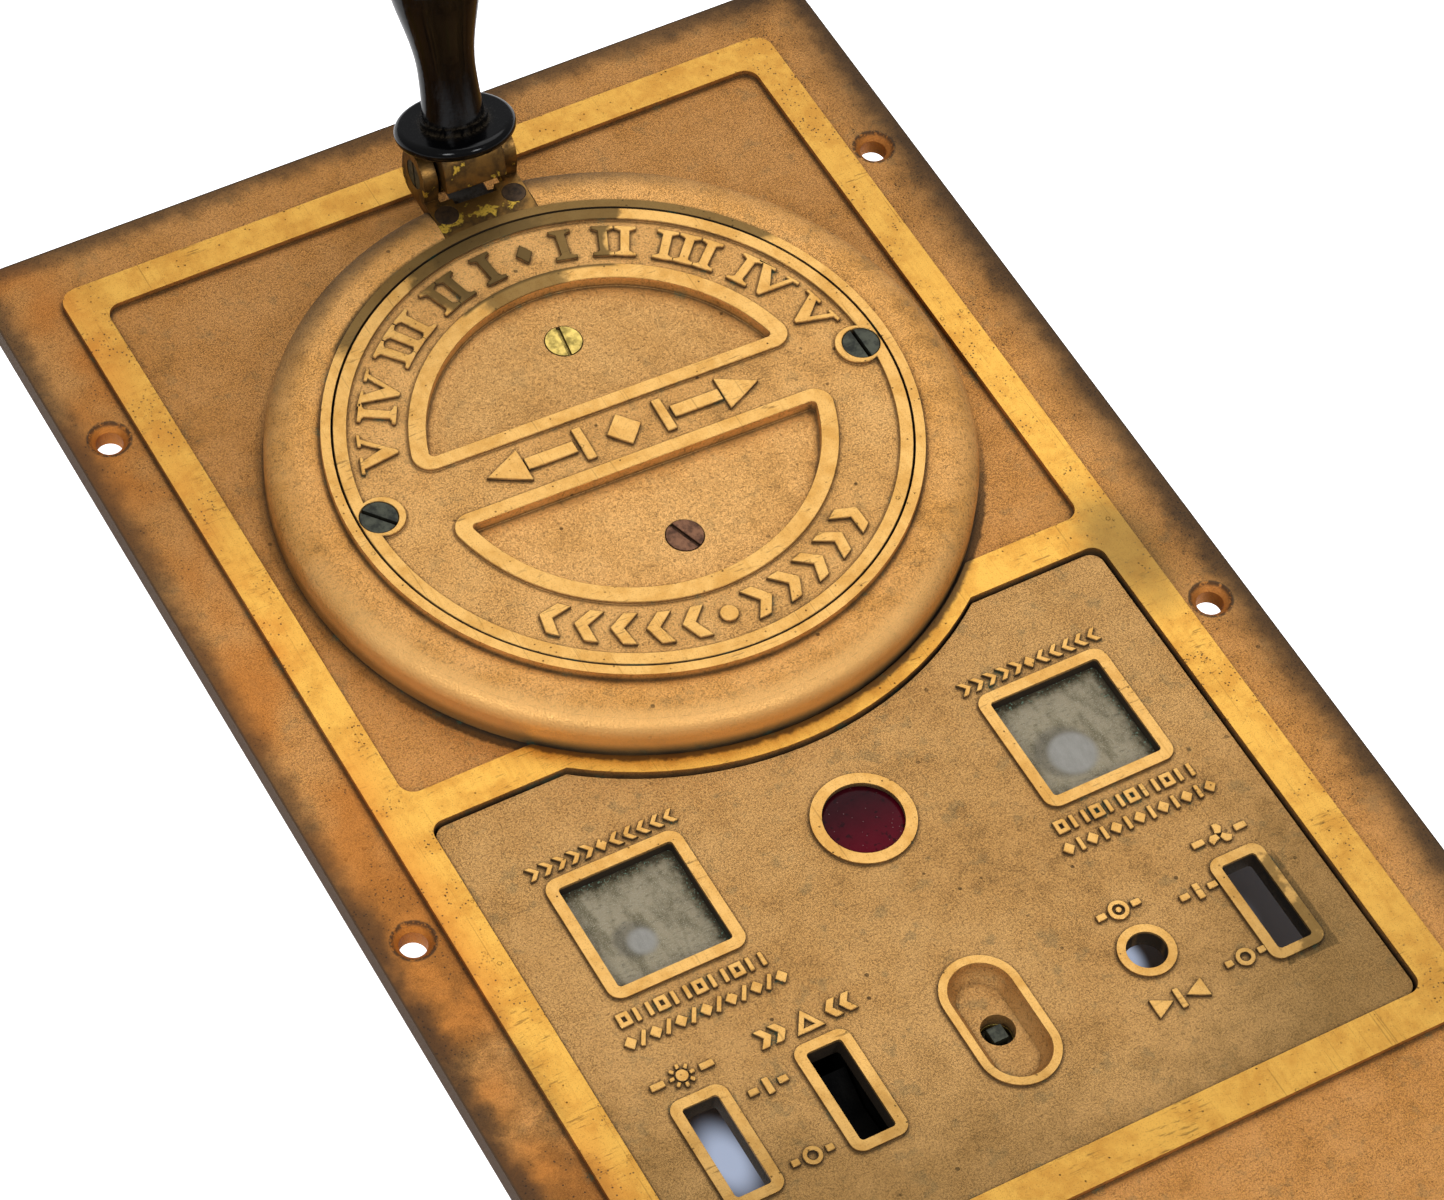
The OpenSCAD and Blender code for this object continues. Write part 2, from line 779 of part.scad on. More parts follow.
module terminal_screws() {
    color(brass) translate([0, dial_y, 0]) for (place = finger_places)
        translate([place[0], place[1], board_z0 - 2.5]) rotate([180, 0, 0])
            slotted_screw(4, 2.5, 2 - thread_gap, 2.5 + board_z1 - board_z0, 70);
}

// ---- dial: ring, cover disc and drive ----

// The ring's hollow body. Its top is a shallow dome that runs into a rounded outer edge.
module ring_body() {
    skirt_in_r = ring_r - 3.5;
    edge_x = ring_r - edge_r;
    crown_centre = [crown_x, crown_z - crown_r];
    edge_rise = sqrt(pow(crown_r - edge_r, 2) - pow(edge_x - crown_x, 2));
    edge_centre = [edge_x, crown_centre[1] + edge_rise];
    meeting = edge_centre + edge_r / (crown_r - edge_r) * (edge_centre - crown_centre);
    body = [[seat_in_r, seat_z - seat_t], [seat_in_r, seat_z], [ring_in_r, seat_z],
            [ring_in_r, disc_z], [rim_out_r, disc_z], [rim_drop_r, edge_centre[1]],
            edge_centre, edge_centre + [edge_r, 0],
            [ring_r, ring_floor_z], [skirt_in_r, ring_floor_z], [skirt_in_r, seat_z - seat_t]];
    rotate_extrude() polygon(body);
    rotate_extrude() intersection() {
        translate(crown_centre) circle(crown_r);
        translate([ring_in_r + 1, seat_z - 1]) square([meeting[0] - ring_in_r - 1, seat_t + 5]);
    }
    rotate_extrude() translate(edge_centre) intersection() {
        circle(edge_r);
        polygon([[0, 0], [2 * edge_r, 0], [2 * edge_r, 2 * edge_r], 3 * (meeting - edge_centre)]);
    }
}

module dial_ring() {
    color(bronze) at_dial() difference() {
        ring_body();
        slab(bracket_z0, disc_z + 1) difference() {
            translate([-bracket_half_w - 0.15, bracket_in_r - 5]) square([2 * bracket_half_w + 0.3, 40]);
            circle(bracket_in_r - 0.15);
        }
        for (side = [-1, 1])
            translate([side * cover_screw_r, 0, seat_z - 6]) cylinder(r = screw_shank_r, h = 8);
        for (x = [-rivet_x, rivet_x])
            translate([x, rivet_y, 0]) cylinder(r = 2.5, h = bracket_z0 + 1);
    }
}

module cover_disc() {
    color(bronze) at_dial() difference() {
        union() {
            slab(seat_z, annulus_z) circle(disc_r);
            slab(annulus_z, disc_z) {
                annulus(disc_r, rim_in_r);
                for (side = [-1, 1]) translate([side * (cover_screw_r - 1), 0]) circle(lobe_r);
                for (half = [0, 1]) mirror([0, half])
                    rounded_d(outline_r, outline_flat, outline_corner_r);
            }
        }
        for (half = [0, 1]) mirror([0, half, 0])
            slab(recess_z, disc_z + 1) rounded_d(recess_r, recess_flat, recess_corner_r);
        difference() {
            translate([0, 0, annulus_z]) cylinder(r = disc_r + 5, h = 5);
            translate([0, 0, annulus_z - 1]) cylinder(r = disc_r, h = 7);
        }
        for (side = [-1, 1]) translate([side * cover_screw_r, 0, 0]) {
            cylinder(r = screw_shank_r + 0.2, h = 30);
            translate([0, 0, disc_z - 4.5]) cylinder(r = screw_seat_r, h = 6);
        }
        for (side = [-1, 1]) translate([0, side * arm_screw_r, 0]) {
            cylinder(r = screw_shank_r + 0.2, h = 30);
            translate([0, 0, recess_z - 1.8]) cylinder(r = screw_seat_r, h = 6);
        }
    }
}

module cover_screws() {
    color(dark_steel) at_dial() for (side = [-1, 1])
        translate([side * cover_screw_r, 0, disc_z - 0.3])
            slotted_screw(screw_head_r, 4.2, screw_shank_r - thread_gap, 12, side < 0 ? -48 : 92);
}

module arm_screw(side) {
    at_dial() translate([0, side * arm_screw_r, recess_z + 0.2])
        slotted_screw(screw_head_r, 2, screw_shank_r - thread_gap, 10, side > 0 ? 84 : 112);
}

module upper_arm_screw() {
    color(brass) arm_screw(1);
}

module lower_arm_screw() {
    color(steel) arm_screw(-1);
}

// The bar under the disc that carries its turn to the shaft.
module drive_arm() {
    color(bronze_dark) at_dial() difference() {
        slab(arm_floor_z, seat_z) {
            circle(18);
            stadium(10, 2 * arm_screw_r);
        }
        translate([0, 0, arm_floor_z - 1]) cylinder(r = shaft_r + fit_gap, h = 12);
        translate([-2, shaft_r - 2.5, arm_floor_z - 1]) cube([4, 5, 12]);
        for (side = [-1, 1])
            translate([0, side * arm_screw_r, arm_floor_z - 1]) cylinder(r = screw_shank_r, h = 12);
    }
}

module shaft() {
    color(steel) at_dial() difference() {
        translate([0, 0, board_z0 + 4]) cylinder(r = shaft_r, h = seat_z - 0.5 - board_z0 - 4);
        translate([-2, shaft_r - 2.5, arm_floor_z]) cube([4, 5, 12]);
    }
}

module shaft_key() {
    color(steel) at_dial() translate([-1.98, shaft_r - 2.48, arm_floor_z + 0.3]) cube([3.96, 4.9, 7]);
}

// The lever that meets the stops, with a pin that pushes the centring spring's tails.
module stop_arm() {
    color(bronze_dark) at_dial() difference() {
        union() {
            translate([0, 0, stop_z0 - 4]) cylinder(r = 13, h = stop_z1 - stop_z0 + 4);
            slab(stop_z0, stop_z1) {
                translate([-stop_arm_half_w, -38]) square([2 * stop_arm_half_w, 38]);
            }
            translate([0, moving_pin_y, stop_z1]) cylinder(r = moving_pin_r, h = 12.5);
        }
        translate([0, 0, stop_z0 - 5]) cylinder(r = shaft_r + fit_gap, h = 12);
    }
}

module segment_carrier() {
    color(black) at_dial() difference() {
        union() {
            translate([0, 0, carrier_z0]) cylinder(r = carrier_r, h = carrier_z1 - carrier_z0);
            translate([0, 0, carrier_z1]) cylinder(r = 12, h = 1.8);
        }
        translate([0, 0, carrier_z0 - 1]) cylinder(r = shaft_r + fit_gap, h = 12);
    }
}

// Three tracks: an unbroken common track, then a slow and a fast pair.
module contact_segments() {
    color(copper) at_dial() slab(carrier_z0 - segment_t, carrier_z0) {
        annulus(26, 18);
        for (side = [0, 1]) mirror([side, 0]) {
            arc_band(36, 28, 5, 50);
            arc_band(46, 38, 10, 45);
        }
    }
}

// ---- lever bracket on the ring ----

// Side view of one cheek: Y is the distance from the dial's axis, Z the height.
module cheek_outline() {
    half = (cheek_out_r - cheek_in_r) / 2;
    foot_r = 6;
    translate([pivot_r, pivot_z]) circle(half);
    translate([cheek_in_r, bracket_z0]) square([2 * half - foot_r, pivot_z - bracket_z0]);
    translate([cheek_in_r, bracket_z0 + foot_r])
        square([2 * half, pivot_z - bracket_z0 - foot_r]);
    translate([cheek_out_r - foot_r, bracket_z0 + foot_r]) circle(foot_r);
}

// The spring slot opens under the knuckle, and the knuckle's own gap behind it.
module handle_bracket() {
    gap_half_w = bracket_half_w - cheek_t;
    color(bronze_dark) at_dial() difference() {
        union() {
            slab(bracket_z0, bracket_z1) difference() {
                translate([-bracket_half_w, bracket_in_r - 5])
                    square([2 * bracket_half_w, cheek_in_r + 2 - bracket_in_r + 5]);
                circle(bracket_in_r);
            }
            for (side = [0, 1]) mirror([side, 0, 0])
                translate([bracket_half_w - cheek_t, 0, 0]) rotate([90, 0, 90])
                    linear_extrude(cheek_t) cheek_outline();
        }
        translate([-bracket_slot_half_w, bracket_slot_in_r, bracket_z0 - 1])
            cube([2 * bracket_slot_half_w, 10, 10]);
        translate([-bracket_slot_half_w, leaf_in_r - 0.5, bracket_z0 - 1])
            cube([2 * bracket_slot_half_w, 10, 1 + leaf_t + 2 * running_gap]);
        translate([-gap_half_w, cheek_in_r - 1.5, bracket_z0 - 1]) cube([2 * gap_half_w, 10, 10]);
        translate([-bracket_half_w - 1, pivot_r, pivot_z]) rotate([0, 90, 0])
            cylinder(r = pin_r, h = 2 * bracket_half_w + 2);
        translate([-bracket_half_w - 1, pivot_r, pivot_z]) rotate([0, 90, 0])
            cylinder(r = 5, h = 3);
        for (x = [-rivet_x, rivet_x]) translate([x, rivet_y, bracket_z0 - 1]) {
            cylinder(r = 2.5, h = 10);
            translate([0, 0, bracket_z1 - bracket_z0 - 1]) cylinder(r = rivet_r, h = 10);
        }
    }
}

module bracket_rivets() {
    head_t = 2;
    color(dark_steel) at_dial() for (x = [-rivet_x, rivet_x]) translate([x, rivet_y, 0]) {
        translate([0, 0, bracket_z1 - head_t]) cylinder(r = rivet_r - 0.05, h = head_t);
        translate([0, 0, seat_z - 5.5]) cylinder(r = 2.45, h = bracket_z1 - head_t - seat_z + 5.5);
        translate([0, 0, seat_z - 7]) cylinder(r = rivet_r, h = 2);
    }
}

// A leaf in the slot that bears under the knuckle.
module detent_spring() {
    half_w = bracket_slot_half_w - 1;
    hump_r = 1.6;
    color(steel) at_dial() {
        translate([-half_w, leaf_in_r, bracket_z0 + running_gap])
            cube([2 * half_w, leaf_l, leaf_t]);
        translate([-half_w, pivot_r, pivot_z - knuckle_r - 0.1 - hump_r])
            rotate([0, 90, 0]) cylinder(r = hump_r, h = 2 * half_w);
    }
}

// A slotted pin through both cheeks and the knuckle.
module pivot_pin() {
    color(dark_steel) at_dial() translate([-bracket_half_w + 0.2, pivot_r, pivot_z])
        rotate([0, -90, 0])
            slotted_screw(4.95, 1.8, pin_r - thread_gap, 2 * bracket_half_w - 0.4, 15);
}

// ---- the folding handle ----

// The knuckle with a nose towards the dial, which carries the collar.
module handle_foot() {
    nose_v = 13;
    nose_u = -3.5;
    chamfer_u = 5;
    seat_v = 10.5;
    back_v = knuckle_r - 0.6;
    profile = [[-nose_v, nose_u], [-nose_v, chamfer_u], [-seat_v, foot_top_u],
               [back_v, foot_top_u], [back_v, 0], [0, nose_u]];
    color(bronze_dark) at_grip() difference() {
        union() {
            rotate([0, 90, 0]) cylinder(r = knuckle_r, h = 2 * knuckle_half_w, center = true);
            translate([-knuckle_half_w, 0, 0]) rotate([90, 0, 90])
                linear_extrude(2 * knuckle_half_w) polygon(profile);
        }
        rotate([0, 90, 0]) cylinder(r = pin_r, h = 40, center = true);
        translate([0, 0, foot_top_u - 5]) cylinder(r = rod_r, h = 8);
    }
}

// A round-edged disc with a small step under the grip.
module handle_collar() {
    edge_r = collar_t / 2;
    color(black) at_grip() translate([0, 0, collar_u]) rotate_extrude() {
        difference() {
            union() {
                translate([rod_r + 0.1, -edge_r]) square([collar_r - edge_r - rod_r - 0.1, collar_t]);
                translate([collar_r - edge_r, 0]) circle(edge_r);
                translate([rod_r + 0.1, edge_r]) square([collar_step_r - rod_r - 0.1, collar_step_t]);
            }
            translate([-5, -10]) square([rod_r + 5.1, 20]);
        }
    }
}

// Radius of the turned grip at a fraction t of its length: foot, waist, swell, round end.
function grip_radius(t) =
    let (foot_r = grip_waist_r + 0.7, waist_t = 0.14, swell_t = 0.48, end_r = grip_max_r * 0.78)
    t < waist_t ? grip_waist_r + (foot_r - grip_waist_r) * pow(1 - t / waist_t, 2)
    : t < swell_t ? grip_waist_r + (grip_max_r - grip_waist_r)
        * (1 - cos(180 * (t - waist_t) / (swell_t - waist_t))) / 2
    : t < 0.9 ? grip_max_r + (end_r - grip_max_r) * (1 - cos(90 * (t - swell_t) / (0.9 - swell_t)))
    : end_r * sqrt(1 - 0.55 * pow((t - 0.9) / 0.1, 2));

module grip() {
    steps = 40;
    skin = [for (i = [0:steps]) [grip_radius(i / steps), grip_u0 + grip_l * i / steps]];
    bore = rod_r + 0.1;
    nut_seat = 6.6;
    seat_u = grip_u0 + grip_l - 4;
    color(black) at_grip() rotate_extrude()
        polygon(concat([[bore, grip_u0]], skin, [[nut_seat, grip_u0 + grip_l],
                [nut_seat, seat_u], [bore, seat_u]]));
}

module grip_rod() {
    color(steel) at_grip() translate([0, 0, foot_top_u - 5])
        cylinder(r = rod_r - thread_gap, h = grip_u0 + grip_l - 1 - foot_top_u + 5);
}

module grip_nut() {
    color(brass) at_grip() translate([0, 0, grip_u0 + grip_l - 4]) difference() {
        union() {
            cylinder(r = 6.5, h = 3.2);
            translate([0, 0, 3.2]) cylinder(r1 = 6.5, r2 = 5.2, h = 0.8);
        }
        translate([0, 0, -1]) cylinder(r = rod_r, h = 10);
    }
}

// ---- named nodes ----

faceplate();
bearing_bush();
stop_posts();
centring_spring();
switch_plate();
top_tongues();
glass_pane(-window_x);  // left_glass
glass_pane(window_x);  // right_glass
glass_gaskets();
cutout_box(-window_x);  // left_cutout_box
cutout_box(window_x);  // right_cutout_box
cutout_box_screws();
contact_block(-window_x);  // left_contact_block
contact_block(window_x);  // right_contact_block
lens();
lens_retainer();
lamp_bracket();
lamp_socket();
lamp_bulb();
safety_switch_body();
safety_switch_screws();
safety_rocker_pin();
key_barrel();
finger_board();
board_pillars();
board_screws();
contact_fingers();
terminal_screws();
dial_ring();
cover_disc();
cover_screws();
upper_arm_screw();
lower_arm_screw();
drive_arm();
shaft();
shaft_key();
stop_arm();
segment_carrier();
contact_segments();
handle_bracket();
bracket_rivets();
detent_spring();
pivot_pin();
handle_foot();
handle_collar();
grip();
grip_rod();
grip_nut();
cutout_button(-window_x);  // left_button
cutout_button(window_x);  // right_button
button_spring(-window_x);  // left_button_spring
button_spring(window_x);  // right_button_spring
safety_rocker();
key_spindle();
latch_bar();
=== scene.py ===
"""Looks for the lift car operating panel: cast bronze, glass, ebonite, and its raised marks."""

import json
import math

import bpy
from mathutils import Matrix, Vector


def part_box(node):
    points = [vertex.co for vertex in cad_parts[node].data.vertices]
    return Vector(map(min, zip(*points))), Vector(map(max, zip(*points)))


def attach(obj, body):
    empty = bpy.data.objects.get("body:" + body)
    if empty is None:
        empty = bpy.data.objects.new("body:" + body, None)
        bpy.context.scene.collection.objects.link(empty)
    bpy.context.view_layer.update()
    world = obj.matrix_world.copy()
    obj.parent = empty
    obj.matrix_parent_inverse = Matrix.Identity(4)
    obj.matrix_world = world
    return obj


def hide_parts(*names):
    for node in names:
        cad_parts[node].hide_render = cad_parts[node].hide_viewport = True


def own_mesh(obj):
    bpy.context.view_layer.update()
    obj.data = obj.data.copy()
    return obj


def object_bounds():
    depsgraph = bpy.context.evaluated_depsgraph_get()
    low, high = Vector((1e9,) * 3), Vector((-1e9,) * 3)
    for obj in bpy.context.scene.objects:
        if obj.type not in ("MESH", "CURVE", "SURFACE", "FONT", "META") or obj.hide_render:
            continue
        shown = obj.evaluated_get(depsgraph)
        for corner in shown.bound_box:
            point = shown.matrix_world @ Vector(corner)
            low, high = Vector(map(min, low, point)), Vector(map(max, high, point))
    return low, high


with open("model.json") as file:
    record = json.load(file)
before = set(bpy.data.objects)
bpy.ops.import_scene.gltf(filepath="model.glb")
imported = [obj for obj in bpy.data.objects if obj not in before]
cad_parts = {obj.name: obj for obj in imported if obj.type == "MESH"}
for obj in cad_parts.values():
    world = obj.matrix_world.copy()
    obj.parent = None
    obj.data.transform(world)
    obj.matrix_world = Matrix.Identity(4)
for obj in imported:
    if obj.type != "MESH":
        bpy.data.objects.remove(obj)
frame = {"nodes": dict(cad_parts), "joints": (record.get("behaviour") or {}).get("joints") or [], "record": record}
cad_low, cad_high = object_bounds()
record = frame["record"]
nodes = frame["nodes"]
scene = bpy.context.scene
MM = 0.001

# ---- places read from the frame, in metres ----

joints = {joint["name"]: joint for joint in frame["joints"]}
mounts = {mount["name"]: mount for mount in record["mounts"]}
openings = {opening["name"]: opening for opening in record["physics"]["openings"]}
dial_axis = Vector(joints["dial_turn"]["pos_m"])
plate_low, plate_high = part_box("faceplate")
band_top = plate_high.z
disc_low, disc_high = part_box("cover_disc")
disc_top = disc_high.z
disc_r = (disc_high.x - disc_low.x) / 2
ring_r = (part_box("dial_ring")[1].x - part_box("dial_ring")[0].x) / 2
bezel_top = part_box("switch_plate")[1].z

# Heights and radii that the solids' own shapes set
REST_TURN = math.radians(-2)  # the dial's turn in its rest pose
relief_h = 1.3 * MM          # raised marks and rims above the disc's stippled floor
disc_floor = disc_top - relief_h
recess_floor = disc_top - 4.4 * MM
bezel_rise = 1.2 * MM
panel_top = bezel_top - bezel_rise
ring_shoulder_z = (disc_top - 2.2 * MM) / MM - 7
SIGHT_SHIFT = (0.417, 0.618)  # how far the camera's line of sight runs in x and y per unit down


def centre_of(low, high):
    return (Vector(low) + Vector(high)) / 2


# Middles of the openings in the switch plate, in mm
LIGHT_SLOT = centre_of(*openings["light_slot"]["box_m"]) / MM
FAN_SLOT = centre_of(*openings["fan_slot"]["box_m"]) / MM
SAFETY_SLOT = centre_of(*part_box("safety_rocker_pin")) / MM
SAFETY_SLOT.y = LIGHT_SLOT.y
SLOTS = (LIGHT_SLOT, FAN_SLOT, SAFETY_SLOT)
BUTTON_HOLE = Vector(mounts["button_hole"]["pos_m"]) / MM


# ---- small helpers for shader nodes ----

class Shade:
    """Builds one node material. Every method returns a socket."""

    def __init__(self, name):
        self.material = bpy.data.materials.new(name)
        self.material.use_nodes = True
        self.tree = self.material.node_tree
        self.principled = self.tree.nodes["Principled BSDF"]
        coordinate = self.tree.nodes.new("ShaderNodeTexCoord")
        scale = self.tree.nodes.new("ShaderNodeVectorMath")
        scale.operation = "SCALE"
        scale.inputs["Scale"].default_value = 1 / MM
        self.link(coordinate.outputs["Object"], scale.inputs[0])
        self.place = scale.outputs[0]

    def link(self, source, target):
        if hasattr(source, "is_output"):
            self.tree.links.new(source, target)
        else:
            target.default_value = source
        return target

    def math(self, operation, a, b=0.0, clamp=False):
        node = self.tree.nodes.new("ShaderNodeMath")
        node.operation = operation
        node.use_clamp = clamp
        self.link(a, node.inputs[0])
        self.link(b, node.inputs[1])
        return node.outputs[0]

    def mul(self, a, b):
        return self.math("MULTIPLY", a, b)

    def add(self, a, b):
        return self.math("ADD", a, b)

    def either(self, a, b):
        """The larger of two masks or values."""
        return self.math("MAXIMUM", a, b)

    def invert(self, a):
        """1 - a, for masks."""
        return self.math("SUBTRACT", 1.0, a)

    def step(self, value, start, end, low=0.0, high=1.0):
        """Smooth step from low at start to high at end."""
        node = self.tree.nodes.new("ShaderNodeMapRange")
        node.interpolation_type = "SMOOTHSTEP"
        for name, number in (("Value", value), ("From Min", start), ("From Max", end),
                             ("To Min", low), ("To Max", high)):
            self.link(number, node.inputs[name])
        return node.outputs[0]

    def distance(self, dx, dy):
        return self.math("SQRT", self.add(self.mul(dx, dx), self.mul(dy, dy)))

    def axes(self, vector=None):
        node = self.tree.nodes.new("ShaderNodeSeparateXYZ")
        self.link(vector or self.place, node.inputs[0])
        return node.outputs

    def moved(self, offset, stretch=(1, 1, 1), turn=0.0):
        """The place in mm, less an offset, turned and stretched."""
        node = self.tree.nodes.new("ShaderNodeMapping")
        node.vector_type = "POINT"
        node.inputs["Rotation"].default_value[2] = math.radians(turn)
        node.inputs["Scale"].default_value = stretch
        shifted = self.tree.nodes.new("ShaderNodeVectorMath")
        shifted.operation = "SUBTRACT"
        shifted.inputs[1].default_value = offset
        self.link(self.place, shifted.inputs[0])
        self.link(shifted.outputs[0], node.inputs["Vector"])
        return node.outputs[0]

    def seeded(self, vector, seed):
        """The place moved far off by a seed, so that each pattern is a different one."""
        node = self.tree.nodes.new("ShaderNodeVectorMath")
        node.operation = "ADD"
        node.inputs[1].default_value = (173.1 * seed, 91.7 * seed, 57.3 * seed)
        self.link(vector or self.place, node.inputs[0])
        return node.outputs[0]

    def noise(self, size, detail=3.0, rough=0.55, vector=None, seed=0.0):
        """Noise whose features are about size mm across."""
        node = self.tree.nodes.new("ShaderNodeTexNoise")
        node.inputs["Scale"].default_value = 1 / size
        node.inputs["Detail"].default_value = detail
        node.inputs["Roughness"].default_value = rough
        self.link(self.seeded(vector, seed), node.inputs["Vector"])
        return node.outputs["Fac"]

    def cells(self, size, vector=None, seed=0.0):
        """Distance to the nearest of scattered points, in cell widths."""
        node = self.tree.nodes.new("ShaderNodeTexVoronoi")
        node.inputs["Scale"].default_value = 1 / size
        self.link(self.seeded(vector, seed), node.inputs["Vector"])
        return node.outputs["Distance"]

    def openness(self, reach, samples=4):
        """0 deep in a corner, 1 on an open face. reach is in mm."""
        node = self.tree.nodes.new("ShaderNodeAmbientOcclusion")
        node.samples = samples
        node.inputs["Distance"].default_value = reach * MM
        return node.outputs["AO"]

    def crevice(self, reach, start, end):
        """1 where the openness is below start, 0 where it is above end."""
        return self.step(self.openness(reach), start, end, 1.0, 0.0)

    def mix(self, low, high, factor):
        """The colour low where factor is 0, high where it is 1."""
        node = self.tree.nodes.new("ShaderNodeMix")
        node.data_type = "RGBA"
        self.link(factor, node.inputs["Factor"])
        ends = [socket for socket in node.inputs if socket.type == "RGBA"]
        for colour, socket in zip((low, high), ends):
            self.link((*colour, 1.0) if isinstance(colour, tuple) else colour, socket)
        return [socket for socket in node.outputs if socket.type == "RGBA"][0]

    def bump(self, height, depth, strength=1.0, below=None):
        """Bump from a height field whose full swing is depth mm."""
        node = self.tree.nodes.new("ShaderNodeBump")
        node.inputs["Distance"].default_value = depth * MM
        node.inputs["Strength"].default_value = strength
        self.link(height, node.inputs["Height"])
        if below is not None:
            self.link(below, node.inputs["Normal"])
        return node.outputs[0]

    def finish(self, colour, rough, metallic=0.0, normal=None, **extra):
        """Sets the main shader's inputs. extra holds others, with _ for a space."""
        inputs = self.principled.inputs
        if isinstance(colour, tuple):
            colour = (*colour, 1.0)
        self.link(colour, inputs["Base Color"])
        self.link(rough, inputs["Roughness"])
        self.link(metallic, inputs["Metallic"])
        if normal is not None:
            self.link(normal, inputs["Normal"])
        for name, value in extra.items():
            self.link(value, inputs[name.replace("_", " ")])
        return self.material


def srgb(red, green, blue):
    """Linear colour from 0-255 display values."""
    def linear(value):
        value /= 255
        return value / 12.92 if value <= 0.04045 else ((value + 0.055) / 1.055) ** 2.4
    return (linear(red), linear(green), linear(blue))


# ---- bronze ----

# Soot brown: real soot and pits, and also the colour of painted shade in hollows, on the ring's far slope and
# under the lever's bracket.
SOOT_AND_SHADE = srgb(36, 26, 16)
# Near black, used only as painted shade inside the windows, slots and button hole.
SHADE_BLACK = srgb(13, 10, 7)
# Brown grime, also used as painted shade down the dial ring's side.
GRIME_AND_SHADE = srgb(84, 60, 34)
OLIVE = srgb(104, 82, 44)
DARK_OLIVE = srgb(82, 64, 34)
ORANGE = srgb(196, 120, 44)
GREY_GREEN = srgb(112, 104, 74)
# Dark brown for the line and painted shade round the dial ring's foot, and for the painted shade on the plate's
# outer sides.
UMBER = srgb(74, 54, 34)
VERDIGRIS = srgb(44, 96, 80)


